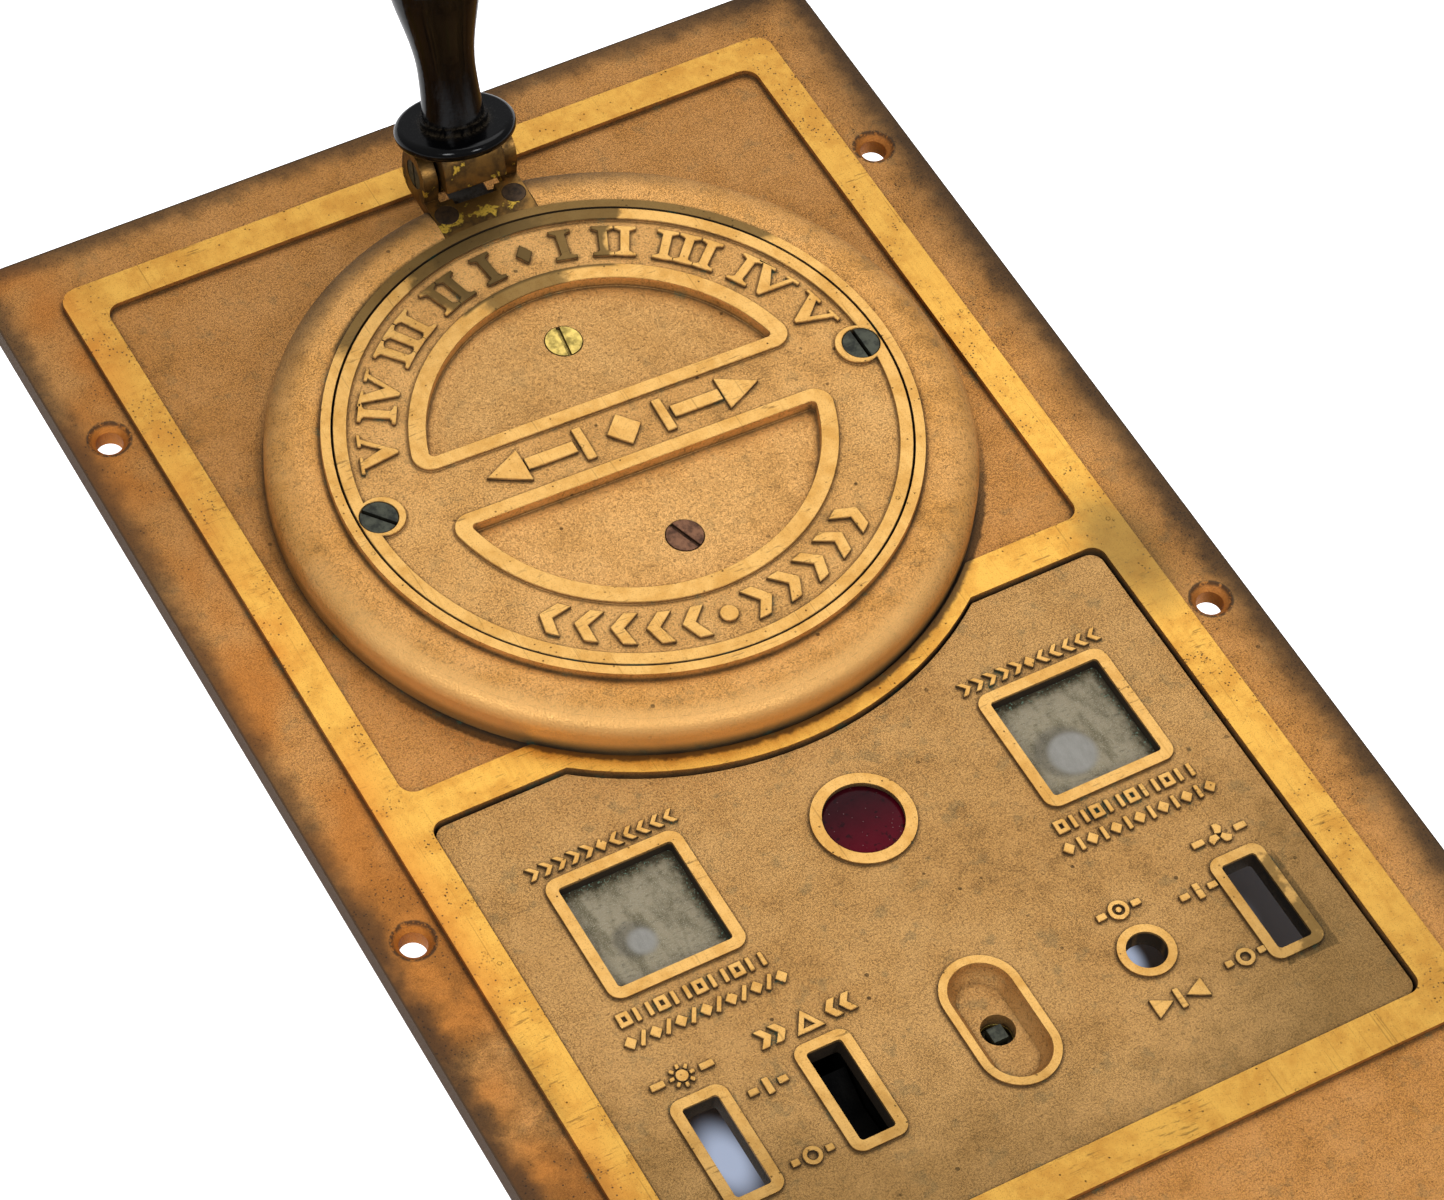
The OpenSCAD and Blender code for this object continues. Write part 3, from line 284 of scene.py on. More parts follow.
def bronze(name, polish_z, gold, patina, stipple, film, tarnish_and_shading, smooth_z=None):
    """Cast bronze, polished above the height polish_z and brown below it.
    gold and patina are each a light and a dark colour. stipple is the depth of the cast grain
    in mm, and below the height smooth_z the grain fades. film is how strong the grey-green smears
    are. The last argument, called as f(shade, ...), lists the tarnished places, the painted shade
    and the painted highlights as mask, colour and amount. Hollows and the feet of raised marks
    darken with grime and painted shade."""
    s = Shade(name)
    x, y, z = s.axes()
    broad = s.noise(60, 3, seed=1.0)
    mottle = s.noise(13, 4, 0.62, seed=2.0)
    cloud = s.noise(4.2, 3, 0.6, seed=3.0)
    grain = s.noise(0.40, 2, 0.7, seed=4.0)
    sand = s.noise(1.15, 3, 0.65, seed=5.0)
    stippled = s.step(s.noise(0.55, 3, 0.8, seed=14.0), 0.47, 0.64)

    polish = s.step(s.add(z, s.mul(mottle, -0.15)), polish_z - 0.38, polish_z - 0.16)

    tone = s.step(s.add(s.mul(broad, 0.5), s.mul(mottle, 0.5)), 0.36, 0.64)
    field = s.mix(patina[0], patina[1], tone)
    blotch = s.step(s.add(s.mul(broad, 0.3), s.add(s.mul(mottle, 0.4), s.mul(cloud, 0.3))), 0.53, 0.68)
    field = s.mix(field, GRIME_AND_SHADE, s.mul(blotch, 0.38))
    glint = s.step(grain, 0.50, 0.34)
    field = s.mix(field, gold[0], s.mul(glint, 0.55))
    density = s.step(s.add(s.mul(cloud, 0.5), s.mul(mottle, 0.5)), 0.34, 0.60, 0.10, 0.46)
    if smooth_z is not None:
        density = s.mul(density, s.step(z, smooth_z - 0.3, smooth_z + 0.3, 0.35, 1.0))
    field = s.mix(field, GRIME_AND_SHADE, s.mul(stippled, density))
    field = s.mix(field, GRIME_AND_SHADE, s.mul(s.step(sand, 0.54, 0.66), 0.38))
    field = s.mix(field, SOOT_AND_SHADE, s.mul(s.step(grain, 0.55, 0.70), 0.36))
    smear = s.step(s.noise(6.5, 3, 0.6, seed=15.0), 0.56, 0.70)
    field = s.mix(field, GREY_GREEN, s.mul(smear, film))
    spots = s.step(s.cells(11, seed=6.0), 0.075, 0.045)
    spots = s.mul(spots, s.step(broad, 0.45, 0.58))
    field = s.mix(field, SOOT_AND_SHADE, s.mul(spots, 0.75))

    bright = s.mix(gold[0], gold[1], s.step(s.add(s.mul(mottle, 0.6), s.mul(cloud, 0.4)), 0.40, 0.66))
    streak = s.noise(1.4, 3, 0.6, vector=s.moved((0, 0, 0), (1, 0.05, 1), 8), seed=7.0)
    bright = s.mix(bright, gold[1], s.mul(s.step(streak, 0.50, 0.70), 0.4))
    bright = s.mix(bright, GRIME_AND_SHADE, s.mul(s.step(grain, 0.54, 0.72), 0.45))
    pits = s.step(s.cells(2.9, seed=8.0), 0.12, 0.07)
    pits = s.mul(pits, s.step(mottle, 0.44, 0.58))
    rub = s.noise(0.9, 3, 0.65, vector=s.moved((0, 0, 0), (0.14, 1, 1), 24), seed=9.0)
    rub = s.mul(s.step(rub, 0.56, 0.68), s.step(s.noise(22, 2, seed=10.0), 0.50, 0.64))
    hairline = s.noise(0.7, 1, 0.4, vector=s.moved((0, 0, 0), (1, 0.02, 1), 57), seed=11.0)
    hairline = s.mul(s.step(hairline, 0.68, 0.74), s.step(broad, 0.42, 0.56))
    marks = s.either(pits, s.either(s.mul(rub, 0.7), s.mul(hairline, 0.40)))
    bright = s.mix(bright, SOOT_AND_SHADE, s.mul(marks, 0.75))

    colour = s.mix(field, bright, polish)
    # Where the soot colour covers, for real soot and painted shade alike, the surface is rougher and less
    # metallic.
    soot_and_shade = 0.0
    for mask, tint, amount in tarnish_and_shading(s, x, y, z, mottle, broad):
        covering = s.mul(mask, amount)
        colour = s.mix(colour, tint, covering)
        if tint in (SOOT_AND_SHADE, SHADE_BLACK):
            soot_and_shade = s.either(soot_and_shade, covering)

    # Hollows, corners and the feet of raised marks turn towards soot brown: grime, together with painted shade in
    # the recesses.
    openness = s.openness(3.4)
    hollow_grime_and_shade = s.mul(s.step(openness, 0.38, 0.84, 1.0, 0.0), s.step(mottle, 0.25, 0.60, 0.80, 1.0))
    outline = s.mul(s.crevice(1.3, 0.60, 0.95), s.step(grain, 0.30, 0.55, 0.6, 1.0))
    colour = s.mix(colour, SOOT_AND_SHADE, s.either(s.mul(hollow_grime_and_shade, 0.92), s.mul(outline, 0.80)))
    green = s.mul(s.step(openness, 0.60, 0.88, 1.0, 0.0), s.step(s.noise(9, 2, seed=12.0), 0.61, 0.68))
    green = s.mul(green, s.step(grain, 0.42, 0.58))
    colour = s.mix(colour, VERDIGRIS, s.mul(green, 0.8))

    rough = s.add(s.step(polish, 0, 1, 0.52, 0.40), s.mul(s.either(hollow_grime_and_shade, soot_and_shade), 0.25))
    metallic = s.mul(s.step(polish, 0, 1, 0.78, 0.90), s.invert(s.mul(s.either(hollow_grime_and_shade, soot_and_shade), 0.6)))
    relief_depth = s.step(polish, 0, 1, 1.0, 0.14)
    grains = s.add(s.add(s.mul(grain, 0.35), s.mul(sand, 0.35)), s.mul(stippled, -0.30))
    normal = s.bump(s.mul(grains, relief_depth), stipple)
    normal = s.bump(s.add(s.noise(24, 2, seed=13.0), s.mul(cloud, 0.18)), 0.5, 0.5, below=normal)
    normal = s.bump(s.invert(s.either(pits, spots)), 0.12, 1.0, below=normal)
    return s.finish(colour, rough, metallic, normal)


def from_dial(s):
    """Radius in mm and angle in degrees about the dial's axis."""
    centred = s.moved(tuple(dial_axis / MM))
    x, y, _ = s.axes(centred)
    angle = s.mul(s.math("ARCTAN2", y, x), 180 / math.pi)
    return s.distance(x, y), angle


def within(s, x, y, middle, half_x, half_y):
    """1 inside a rectangle round middle, in mm."""
    aside = s.math("SUBTRACT", s.math("ABSOLUTE", s.add(x, -middle.x)), half_x)
    along = s.math("SUBTRACT", s.math("ABSOLUTE", s.add(y, -middle.y)), half_y)
    return s.step(s.either(aside, along), 0.3, -0.3)


def over_node(s, x, y, node, margin):
    """1 over a node's box, grown by margin mm."""
    low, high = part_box(node)
    half = (Vector(high) - Vector(low)) / 2 / MM
    return within(s, x, y, centre_of(low, high) / MM, half.x + margin, half.y + margin)


def disc_tarnish(s, x, y, z, mottle, broad):
    """Dark film on the marks and rims next to the lever, and a duller upper recess."""
    radius, angle = from_dial(s)
    ragged = s.add(angle, s.mul(mottle, 14))
    high = s.step(z, disc_top / MM - 0.7, disc_top / MM - 0.3)
    near_lever = s.mul(s.step(ragged, 70, 72), s.step(ragged, 121, 118))
    outer = s.mul(s.step(radius, 66, 67), high)
    inner = s.mul(s.mul(s.step(ragged, 84, 87), s.step(ragged, 114, 111)), s.step(radius, 55, 57))
    sunk = s.step(z, disc_top / MM - 1, disc_top / MM - 2)
    upper = s.mul(s.mul(s.step(angle, 0, 4), s.step(radius, 66, 60)), sunk)
    return [(upper, GRIME_AND_SHADE, 0.16), (s.mul(near_lever, outer), DARK_OLIVE, 0.88),
            (s.mul(inner, high), DARK_OLIVE, 0.75)]


def ring_tarnish_and_shade(s, x, y, z, mottle, broad):
    """Painted shade on the ring's far slope, down its side and under the lever's bracket, a painted
    highlight on its lower outer edge, and dark film on its rim.
    """
    radius, angle = from_dial(s)
    edge = ring_r / MM
    # Painted shade and painted dark reflection on the ring's far slope.
    far_side_shade = s.mul(s.step(angle, 40, 78), s.step(angle, 165, 118))
    slope = s.step(s.add(radius, s.mul(mottle, 6)), edge - 8, edge)
    ragged = s.add(angle, s.mul(mottle, 10))
    rim = s.mul(s.step(ragged, 34, 37), s.step(ragged, 141, 138))
    rim = s.mul(rim, s.step(radius, disc_r / MM + 6.5, disc_r / MM + 5.0))
    # Painted shade: the ring's steep side below its shoulder is made darker brown.
    side = s.step(z, ring_shoulder_z - 2, ring_shoulder_z - 6)
    # Painted highlight: a pale gold band on the lower and left part of the ring's outer edge.
    painted_highlight = s.mul(s.step(s.math("ABSOLUTE", s.add(angle, 115)), 70, 40),
                      s.step(radius, edge - 9, edge - 4))
    # Painted shadow of the lever's bracket on the ring.
    bracket_shadow = over_node(s, x, y, "handle_bracket", -1.5)
    return [(painted_highlight, srgb(244, 190, 116), 0.75), (s.mul(far_side_shade, slope), SOOT_AND_SHADE, 0.72),
            (rim, DARK_OLIVE, 0.85), (side, GRIME_AND_SHADE, 0.5), (bracket_shadow, SOOT_AND_SHADE, 0.96)]


def hole_rims(s, x, y):
    """Dirt round the mounting holes' countersinks, and the orange metal inside them."""
    spacing = mounts["corner_screws"]["dims"]
    aside = s.add(s.math("ABSOLUTE", x), -spacing["spacing_x_mm"] / 2)
    row = s.math("ABSOLUTE", y)
    row = s.math("MINIMUM", row, s.math("ABSOLUTE", s.add(row, -spacing["spacing_y_mm"] / 2)))
    away = s.distance(aside, row)
    crust = s.mul(s.step(away, 5.4, 6.4), s.step(away, 7.6, 6.9))
    crust = s.mul(crust, s.step(s.noise(1.6, 3, 0.7, seed=18.0), 0.34, 0.52))
    return crust, s.step(away, 6.9, 6.5)


def plate_tarnish_and_shade(s, x, y, z, mottle, broad):
    """Soot along the outer edges, pitted side bands, an orange left flange, an olive smudge on
    the right band, a dark line and painted shade round the dial ring's foot, painted shade on the
    plate's outer sides and dirty screw holes."""
    half_w = plate_high.x / MM
    half_l = plate_high.y / MM
    to_side = s.math("SUBTRACT", half_w, s.math("ABSOLUTE", x))
    to_end = s.math("SUBTRACT", half_l, s.math("ABSOLUTE", y))
    to_edge = s.math("MINIMUM", to_side, to_end)
    margin = s.step(s.add(to_edge, s.mul(mottle, -12)), 4, -5)
    on_right = s.mul(s.step(x, 100, 130), s.step(s.add(to_edge, s.mul(mottle, -10)), 13, -3))
    smudge = s.math("SQRT", s.add(s.math("POWER", s.add(x, -125), 2),
                                  s.mul(s.math("POWER", s.add(y, -28), 2), 0.35)))
    smudge = s.step(s.add(smudge, s.mul(mottle, 14)), 28, 12)
    left = s.mul(s.step(x, -118, -134), s.step(broad, 0.40, 0.56))
    dull = s.mul(s.step(y, -20, -150), s.step(z, band_top / MM - 1, band_top / MM - 0.4))
    low_flange = s.mul(s.mul(s.step(x, -125, -134), s.step(y, 60, -40)), s.step(mottle, 0.35, 0.6))
    radius, _ = from_dial(s)
    # A dark line and painted shade round the dial ring's foot, strongest on the near side.
    foot = s.step(s.add(radius, s.mul(s.noise(3, 3, 0.6, seed=17.0), -3)), ring_r / MM + 2.2,
                  ring_r / MM + 0.8)
    foot = s.mul(foot, s.step(y, 100, 60, 0.25, 1.0))
    far_end = s.step(y, 120, 175)
    side_bands = s.step(s.math("ABSOLUTE", x), 112, 122)
    pitted = s.mul(s.step(s.cells(1.6, seed=19.0), 0.24, 0.12), side_bands)
    pitted = s.mul(pitted, s.step(s.add(s.mul(mottle, 0.7), s.mul(broad, 0.3)), 0.46, 0.58))
    # Painted shade: the plate's outer side faces are made dark brown.
    shaded_outer_side = s.step(to_edge, 0.9, 0.3)
    crust, bore = hole_rims(s, x, y)
    return [(left, ORANGE, 0.65), (low_flange, GRIME_AND_SHADE, 0.45), (dull, OLIVE, 0.22),
            (foot, UMBER, 0.85), (far_end, GRIME_AND_SHADE, 0.20), (pitted, SOOT_AND_SHADE, 0.75),
            (smudge, OLIVE, 0.7), (margin, SOOT_AND_SHADE, 0.7), (on_right, SOOT_AND_SHADE, 0.5),
            (bore, ORANGE, 0.6), (crust, SOOT_AND_SHADE, 0.8), (shaded_outer_side, UMBER, 0.85)]


def panel_tarnish_and_shade(s, x, y, z, mottle, broad):
    """Olive shading over the plate's lower corners, a stain by the fan slot, and painted shade, near
    black, inside the windows, slots and button hole."""
    corner = s.step(s.add(s.math("SUBTRACT", x, y), s.mul(mottle, 60)), 175, 265)
    left_low = s.step(s.add(s.math("SUBTRACT", s.mul(x, -0.4), y), s.mul(mottle, 60)), 130, 190)
    # Painted shade: the sides inside the windows, slots and button hole go near black below the bezel's top.
    shaded_walls = s.either(over_node(s, x, y, "left_glass", -2), over_node(s, x, y, "right_glass", -2))
    for slot in SLOTS:
        shaded_walls = s.either(shaded_walls, within(s, x, y, slot, 6.2, 16.6))
    shaded_walls = s.either(shaded_walls, within(s, x, y, BUTTON_HOLE, 6.5, 6.5))
    depth = s.add(z, s.mul(mottle, 1.2))
    shaded_walls = s.mul(shaded_walls, s.step(depth, bezel_top / MM + 0.2, bezel_top / MM - 0.7))
    stain = s.mul(within(s, x, y, FAN_SLOT + Vector((3, -3, 0)), 9, 19), s.step(mottle, 0.44, 0.52))
    return [(corner, OLIVE, 0.55), (left_low, OLIVE, 0.42), (stain, DARK_OLIVE, 0.65),
            (shaded_walls, SHADE_BLACK, 0.95)]


# ---- other materials ----

def dark_bronze():
    """The lever's bracket and foot: olive-brown with yellow worn patches."""
    s = Shade("dark_bronze")
    mottle = s.noise(7, 4, 0.6, seed=11.0)
    grain = s.noise(0.8, 2, 0.6, seed=12.0)
    colour = s.mix(srgb(126, 92, 44), srgb(70, 52, 28), s.step(mottle, 0.38, 0.66))
    radius, angle = from_dial(s)
    slot_r = (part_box("handle_bracket")[0].y - dial_axis.y) / MM + 9
    aside = s.math("ABSOLUTE", s.add(angle, -90 - math.degrees(REST_TURN)))
    near_slot = s.mul(s.step(s.math("ABSOLUTE", s.add(radius, -slot_r)), 5.0, 1.5),
                      s.step(s.mul(aside, math.radians(1) * slot_r), 14, 9))
    worn = s.step(s.add(mottle, s.mul(near_slot, 0.16)), 0.62, 0.67)
    worn = s.mul(worn, s.step(grain, 0.26, 0.52))
    colour = s.mix(colour, srgb(226, 186, 70), s.mul(worn, 0.8))
    # Grime and painted shade: corners and recesses turn towards soot brown.
    hollow_grime_and_shade = s.crevice(2.5, 0.45, 0.92)
    colour = s.mix(colour, SOOT_AND_SHADE, s.mul(hollow_grime_and_shade, 0.85))
    normal = s.bump(grain, 0.12, 0.7)
    return s.finish(colour, s.step(mottle, 0.3, 0.7, 0.34, 0.52), 0.85, normal)


def turned_metal(name, light, dark, rough, metallic=0.9):
    """Plain machined metal with tarnish, fine marks, and grime and painted shade in its slots."""
    s = Shade(name)
    mottle = s.noise(3.5, 4, 0.65, seed=21.0)
    grain = s.noise(0.3, 2, 0.5, seed=22.0)
    colour = s.mix(light, dark, s.step(mottle, 0.38, 0.68))
    colour = s.mix(colour, dark, s.mul(s.step(grain, 0.60, 0.78), 0.6))
    # Grime and painted shade in the slots and corners.
    hollow_grime_and_shade = s.crevice(1.6, 0.35, 0.9)
    colour = s.mix(colour, SOOT_AND_SHADE, s.mul(hollow_grime_and_shade, 0.8))
    scratch = s.noise(0.5, 1, 0.4, vector=s.moved((0, 0, 0), (1, 0.05, 1), 35), seed=23.0)
    normal = s.bump(s.add(grain, s.mul(scratch, 0.7)), 0.06, 0.8)
    return s.finish(colour, s.step(mottle, 0.3, 0.7, rough, rough + 0.16), metallic, normal)


def ebonite():
    """Polished black handle with brown patches of painted sheen, dust at the collar and fine scuffs."""
    s = Shade("ebonite")
    mottle = s.noise(14, 3, 0.6, seed=31.0)
    scuff = s.noise(1.2, 3, 0.7, vector=s.moved((0, 0, 0), (1, 1, 0.25)), seed=32.0)
    # Painted sheen: random brown patches stand in for the brownish reflection on the black.
    colour = s.mix(srgb(3, 3, 4), srgb(18, 12, 9), s.step(mottle, 0.54, 0.76))
    dust = s.mul(s.crevice(3.0, 0.45, 0.85), s.step(scuff, 0.35, 0.6))
    colour = s.mix(colour, srgb(84, 72, 54), s.mul(dust, 0.4))
    rough = s.add(s.step(scuff, 0.45, 0.75, 0.12, 0.28), s.mul(dust, 0.3))
    normal = s.bump(scuff, 0.03, 0.5)
    return s.finish(colour, rough, 0.0, normal, IOR=1.5, Specular_IOR_Level=0.17)


def moulded_black():
    """Dull black moulding, so dark that it reads as a shadow in the slots."""
    s = Shade("black_moulding")
    mottle = s.noise(6, 3, 0.6, seed=41.0)
    grain = s.noise(0.6, 2, 0.6, seed=42.0)
    colour = s.mix(srgb(3, 3, 3), srgb(9, 8, 7), s.step(mottle, 0.4, 0.7))
    return s.finish(colour, s.step(grain, 0.3, 0.7, 0.5, 0.68), 0.0, s.bump(grain, 0.05, 0.6),
                    Specular_IOR_Level=0.03)


def fibre_board():
    """Brown laminated sheet: faint layers seen on the edge, fine weave on the face."""
    s = Shade("fibre")
    layers = s.noise(0.5, 1, 0.4, vector=s.moved((0, 0, 0), (0.02, 0.02, 1)), seed=51.0)
    weave = s.noise(1.1, 2, 0.5, seed=52.0)
    colour = s.mix(srgb(104, 56, 38), srgb(70, 36, 26), s.step(s.add(s.mul(layers, 0.5),
                   s.mul(weave, 0.5)), 0.4, 0.65))
    return s.finish(colour, 0.55, 0.0, s.bump(s.add(weave, layers), 0.08, 0.6))


def rubber():
    s = Shade("rubber")
    grain = s.noise(0.7, 3, 0.6, seed=61.0)
    colour = s.mix(srgb(26, 25, 24), srgb(48, 45, 40), s.step(grain, 0.4, 0.75))
    return s.finish(colour, 0.78, 0.0, s.bump(grain, 0.1, 0.7))


def ivory():
    s = Shade("ivory")
    mottle = s.noise(4, 3, 0.6, seed=71.0)
    colour = s.mix(srgb(232, 236, 244), srgb(188, 188, 184), s.step(mottle, 0.45, 0.8))
    return s.finish(colour, 0.32, 0.0, s.bump(mottle, 0.04, 0.4), Subsurface_Weight=0.15)


def grey_paint():
    """Old stove enamel on the pressed trays, chipped at the corners."""
    s = Shade("grey_paint")
    mottle = s.noise(9, 4, 0.6, seed=81.0)
    chips = s.step(s.cells(7, seed=82.0), 0.16, 0.10)
    chips = s.mul(chips, s.step(mottle, 0.5, 0.6))
    colour = s.mix(srgb(150, 148, 136), srgb(112, 108, 94), s.step(mottle, 0.35, 0.7))
    colour = s.mix(colour, srgb(58, 46, 36), chips)
    normal = s.bump(s.invert(chips), 0.12, 1.0)
    return s.finish(colour, s.step(mottle, 0.3, 0.7, 0.45, 0.62), 0.0, normal)


def pale_spot(s, x, y, button, radius):
    """Where a button shows through its window, as painted light and shade on the film: 1 inside, and a
    soft dark crescent of painted shadow beside it.
    """
    low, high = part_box(button)
    depth = (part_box("left_glass")[1].z - high.z) / MM
    spot = centre_of(low, high) / MM - Vector((*SIGHT_SHIFT, 0)) * depth
    dx, dy = s.add(x, -spot.x), s.add(y, -spot.y)
    away = s.distance(dx, dy)
    beside = s.distance(s.add(dx, 2.2), s.add(dy, -1.6))
    return s.step(away, radius + 0.6, radius - 2.2), s.step(beside, radius + 2.6, radius - 0.5)


CRUST_AND_SHADE_REACH = 20       # mm in from the pane's edge, more than the packed grime and painted shade take up


def dusty_glass():
    """Clear pane under a streaked film of olive dust, with grime packed along two edges under the
    bezel's painted shadow, and the buttons behind painted onto the film.
    """
    s = Shade("clear_glass")
    x, y, _ = s.axes()
    swirl = s.noise(5.5, 4, 0.65, vector=s.moved((0, 0, 0), (1, 0.45, 1), 30), seed=91.0)
    grit = s.noise(0.34, 2, 0.7, seed=92.0)
    fine = s.noise(0.9, 3, 0.7, vector=s.moved((0, 0, 0), (0.35, 1, 1), 18), seed=94.0)
    film = s.add(s.step(swirl, 0.3, 0.75, 0.55, 0.80), s.mul(s.step(grit, 0.42, 0.72), 0.12))
    colour = s.mix(srgb(172, 158, 128), srgb(112, 102, 76), s.step(swirl, 0.38, 0.66))
    colour = s.mix(colour, srgb(92, 82, 58), s.mul(s.step(fine, 0.50, 0.72), 0.55))
    colour = s.mix(colour, srgb(214, 206, 180), s.mul(s.step(grit, 0.46, 0.36), 0.50))
    edges = 0.0
    for pane, button, radius in (("left_glass", "left_button", 5.2),
                                 ("right_glass", "right_button", 8.4)):
        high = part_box(pane)[1]
        corner = s.either(s.add(x, -high.x / MM), s.add(y, -high.y / MM))
        inside = over_node(s, x, y, pane, 1)
        corner = s.mul(s.add(corner, CRUST_AND_SHADE_REACH), inside)
        edges = s.either(edges, corner)
        # The lit button is painted onto the film as a pale disc, with a painted shadow crescent beside it.
        spot, crescent = pale_spot(s, x, y, button, radius)
        colour = s.mix(colour, srgb(74, 72, 68), s.mul(crescent, 0.45))
        colour = s.mix(colour, srgb(168, 165, 158), s.mul(spot, 0.80))
    edges = s.add(edges, s.mul(s.noise(2.4, 3, 0.65, seed=95.0), 7))
    # Dark band along the pane's top and right edges: packed grime and the painted shadow of the bezel.
    crust = s.step(edges, CRUST_AND_SHADE_REACH - 4, CRUST_AND_SHADE_REACH + 0.5)
    colour = s.mix(colour, srgb(40, 34, 20), s.mul(crust, 0.90))
    flecks = s.mul(s.step(s.noise(0.8, 2, 0.6, seed=96.0), 0.58, 0.66), crust)
    colour = s.mix(colour, srgb(120, 150, 130), s.mul(flecks, 0.7))
    clear = s.tree.nodes.new("ShaderNodeBsdfTransparent")
    clear.inputs["Color"].default_value = (0.90, 0.92, 0.90, 1)
    gloss = s.tree.nodes.new("ShaderNodeBsdfGlossy")
    gloss.inputs["Roughness"].default_value = 0.16
    fresnel = s.tree.nodes.new("ShaderNodeFresnel")
    fresnel.inputs["IOR"].default_value = 1.45
    sheet = s.tree.nodes.new("ShaderNodeMixShader")
    s.link(fresnel.outputs[0], sheet.inputs[0])
    s.link(clear.outputs[0], sheet.inputs[1])
    s.link(gloss.outputs[0], sheet.inputs[2])
    s.finish(colour, 0.75, 0.0, s.bump(grit, 0.05, 0.6), Specular_IOR_Level=0.2)
    top = s.tree.nodes.new("ShaderNodeMixShader")
    s.link(s.math("ADD", film, s.mul(crust, 0.4), clamp=True), top.inputs[0])
    s.link(sheet.outputs[0], top.inputs[1])
    s.link(s.principled.outputs[0], top.inputs[2])
    s.link(top.outputs[0], s.tree.nodes["Material Output"].inputs["Surface"])
    return s.material


def red_lens():
    """Deep red pressed glass, darker towards the far side as painted shading for light passing through, with dust
    specks.
    """
    s = Shade("red_glass")
    low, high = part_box("lens")
    _, y, _ = s.axes()
    # Painted shading: the colour darkens from the near edge to the far edge, standing in for light passing
    # through.
    fade = s.step(y, low.y / MM + 2, high.y / MM - 6)
    mottle = s.noise(4, 3, 0.6, seed=101.0)
    colour = s.mix(srgb(92, 3, 24), srgb(40, 4, 12), s.add(s.mul(fade, 0.8), s.mul(mottle, 0.3)))
    blots = s.step(s.noise(2.2, 2, 0.5, seed=102.0), 0.60, 0.70)
    colour = s.mix(colour, srgb(26, 4, 10), s.mul(blots, 0.7))
    specks = s.step(s.cells(1.6, seed=103.0), 0.09, 0.05)
    colour = s.mix(colour, srgb(180, 150, 148), s.mul(specks, 0.55))
    return s.finish(colour, s.step(mottle, 0.3, 0.7, 0.12, 0.24), 0.0,
                    s.bump(s.noise(1.5, 2, 0.5, seed=104.0), 0.03, 0.3), Specular_IOR_Level=0.05)


def bulb_glass():
    s = Shade("bulb_glass")
    haze = s.noise(5, 2, 0.5, seed=111.0)
    return s.finish(srgb(240, 236, 220), s.step(haze, 0.3, 0.7, 0.05, 0.2), 0.0,
                    s.bump(haze, 0.02, 0.3), Transmission_Weight=0.9, IOR=1.5)


BAND_GOLD = (srgb(213, 163, 73), srgb(191, 137, 56))
PALE_GOLD = (srgb(208, 163, 93), srgb(188, 140, 70))
MATERIALS = {
    "plate_bronze": bronze("plate_bronze", band_top / MM, BAND_GOLD,
                           (srgb(210, 151, 87), srgb(198, 136, 69)), 0.16, 0.25,
                           plate_tarnish_and_shade),
    "panel_bronze": bronze("panel_bronze", bezel_top / MM, PALE_GOLD,
                           (srgb(208, 161, 99), srgb(194, 145, 83)), 0.18, 0.34,
                           panel_tarnish_and_shade),
    "ring_bronze": bronze("ring_bronze", disc_top / MM, PALE_GOLD,
                          (srgb(234, 176, 104), srgb(220, 158, 80)), 0.16, 0.22,
                          ring_tarnish_and_shade),
    "disc_bronze": bronze("disc_bronze", disc_top / MM, PALE_GOLD,
                          (srgb(242, 188, 116), srgb(228, 171, 98)), 0.22, 0.20,
                          disc_tarnish, recess_floor / MM + 1.5),
    "dark_bronze": dark_bronze(),
    "brass": turned_metal("brass", srgb(205, 178, 96), srgb(140, 122, 62), 0.32),
    "umber_steel": turned_metal("umber_steel", srgb(70, 52, 34), srgb(40, 30, 20), 0.42, 0.7),
    "copper": turned_metal("copper", srgb(196, 124, 84), srgb(120, 70, 46), 0.34),
    "steel": turned_metal("steel", srgb(140, 134, 126), srgb(92, 84, 76), 0.36),
    "brown_steel": turned_metal("brown_steel", srgb(122, 84, 60), srgb(78, 52, 38), 0.42, 0.7),
    "dark_steel": turned_metal("dark_steel", srgb(66, 68, 56), srgb(38, 40, 34), 0.42, 0.6),
    "gloss_black": ebonite(),
    "black_moulding": moulded_black(),
    "fibre": fibre_board(),
    "rubber": rubber(),
    "ivory": ivory(),
    "grey_paint": grey_paint(),
    "clear_glass": dusty_glass(),
    "red_glass": red_lens(),
    "bulb_glass": bulb_glass(),
}
NODE_MATERIAL = {"faceplate": "plate_bronze", "switch_plate": "panel_bronze",
                 "dial_ring": "ring_bronze", "cover_disc": "disc_bronze",
                 "lower_arm_screw": "brown_steel", "bracket_rivets": "umber_steel"}


# ---- CAD nodes: materials and eased edges ----

EDGE_EASE = {"faceplate": 0.55, "switch_plate": 0.35, "dial_ring": 0.4, "cover_disc": 0.3,
             "handle_bracket": 0.6, "handle_foot": 0.6, "left_cutout_box": 0.3,
             "right_cutout_box": 0.3, "safety_rocker": 0.4}
EASE = 0.15
SMOOTH_SKINS = {"centring_spring", "grip", "handle_collar", "lens", "lamp_bulb",
                "left_button_spring", "right_button_spring", "left_glass", "right_glass"}


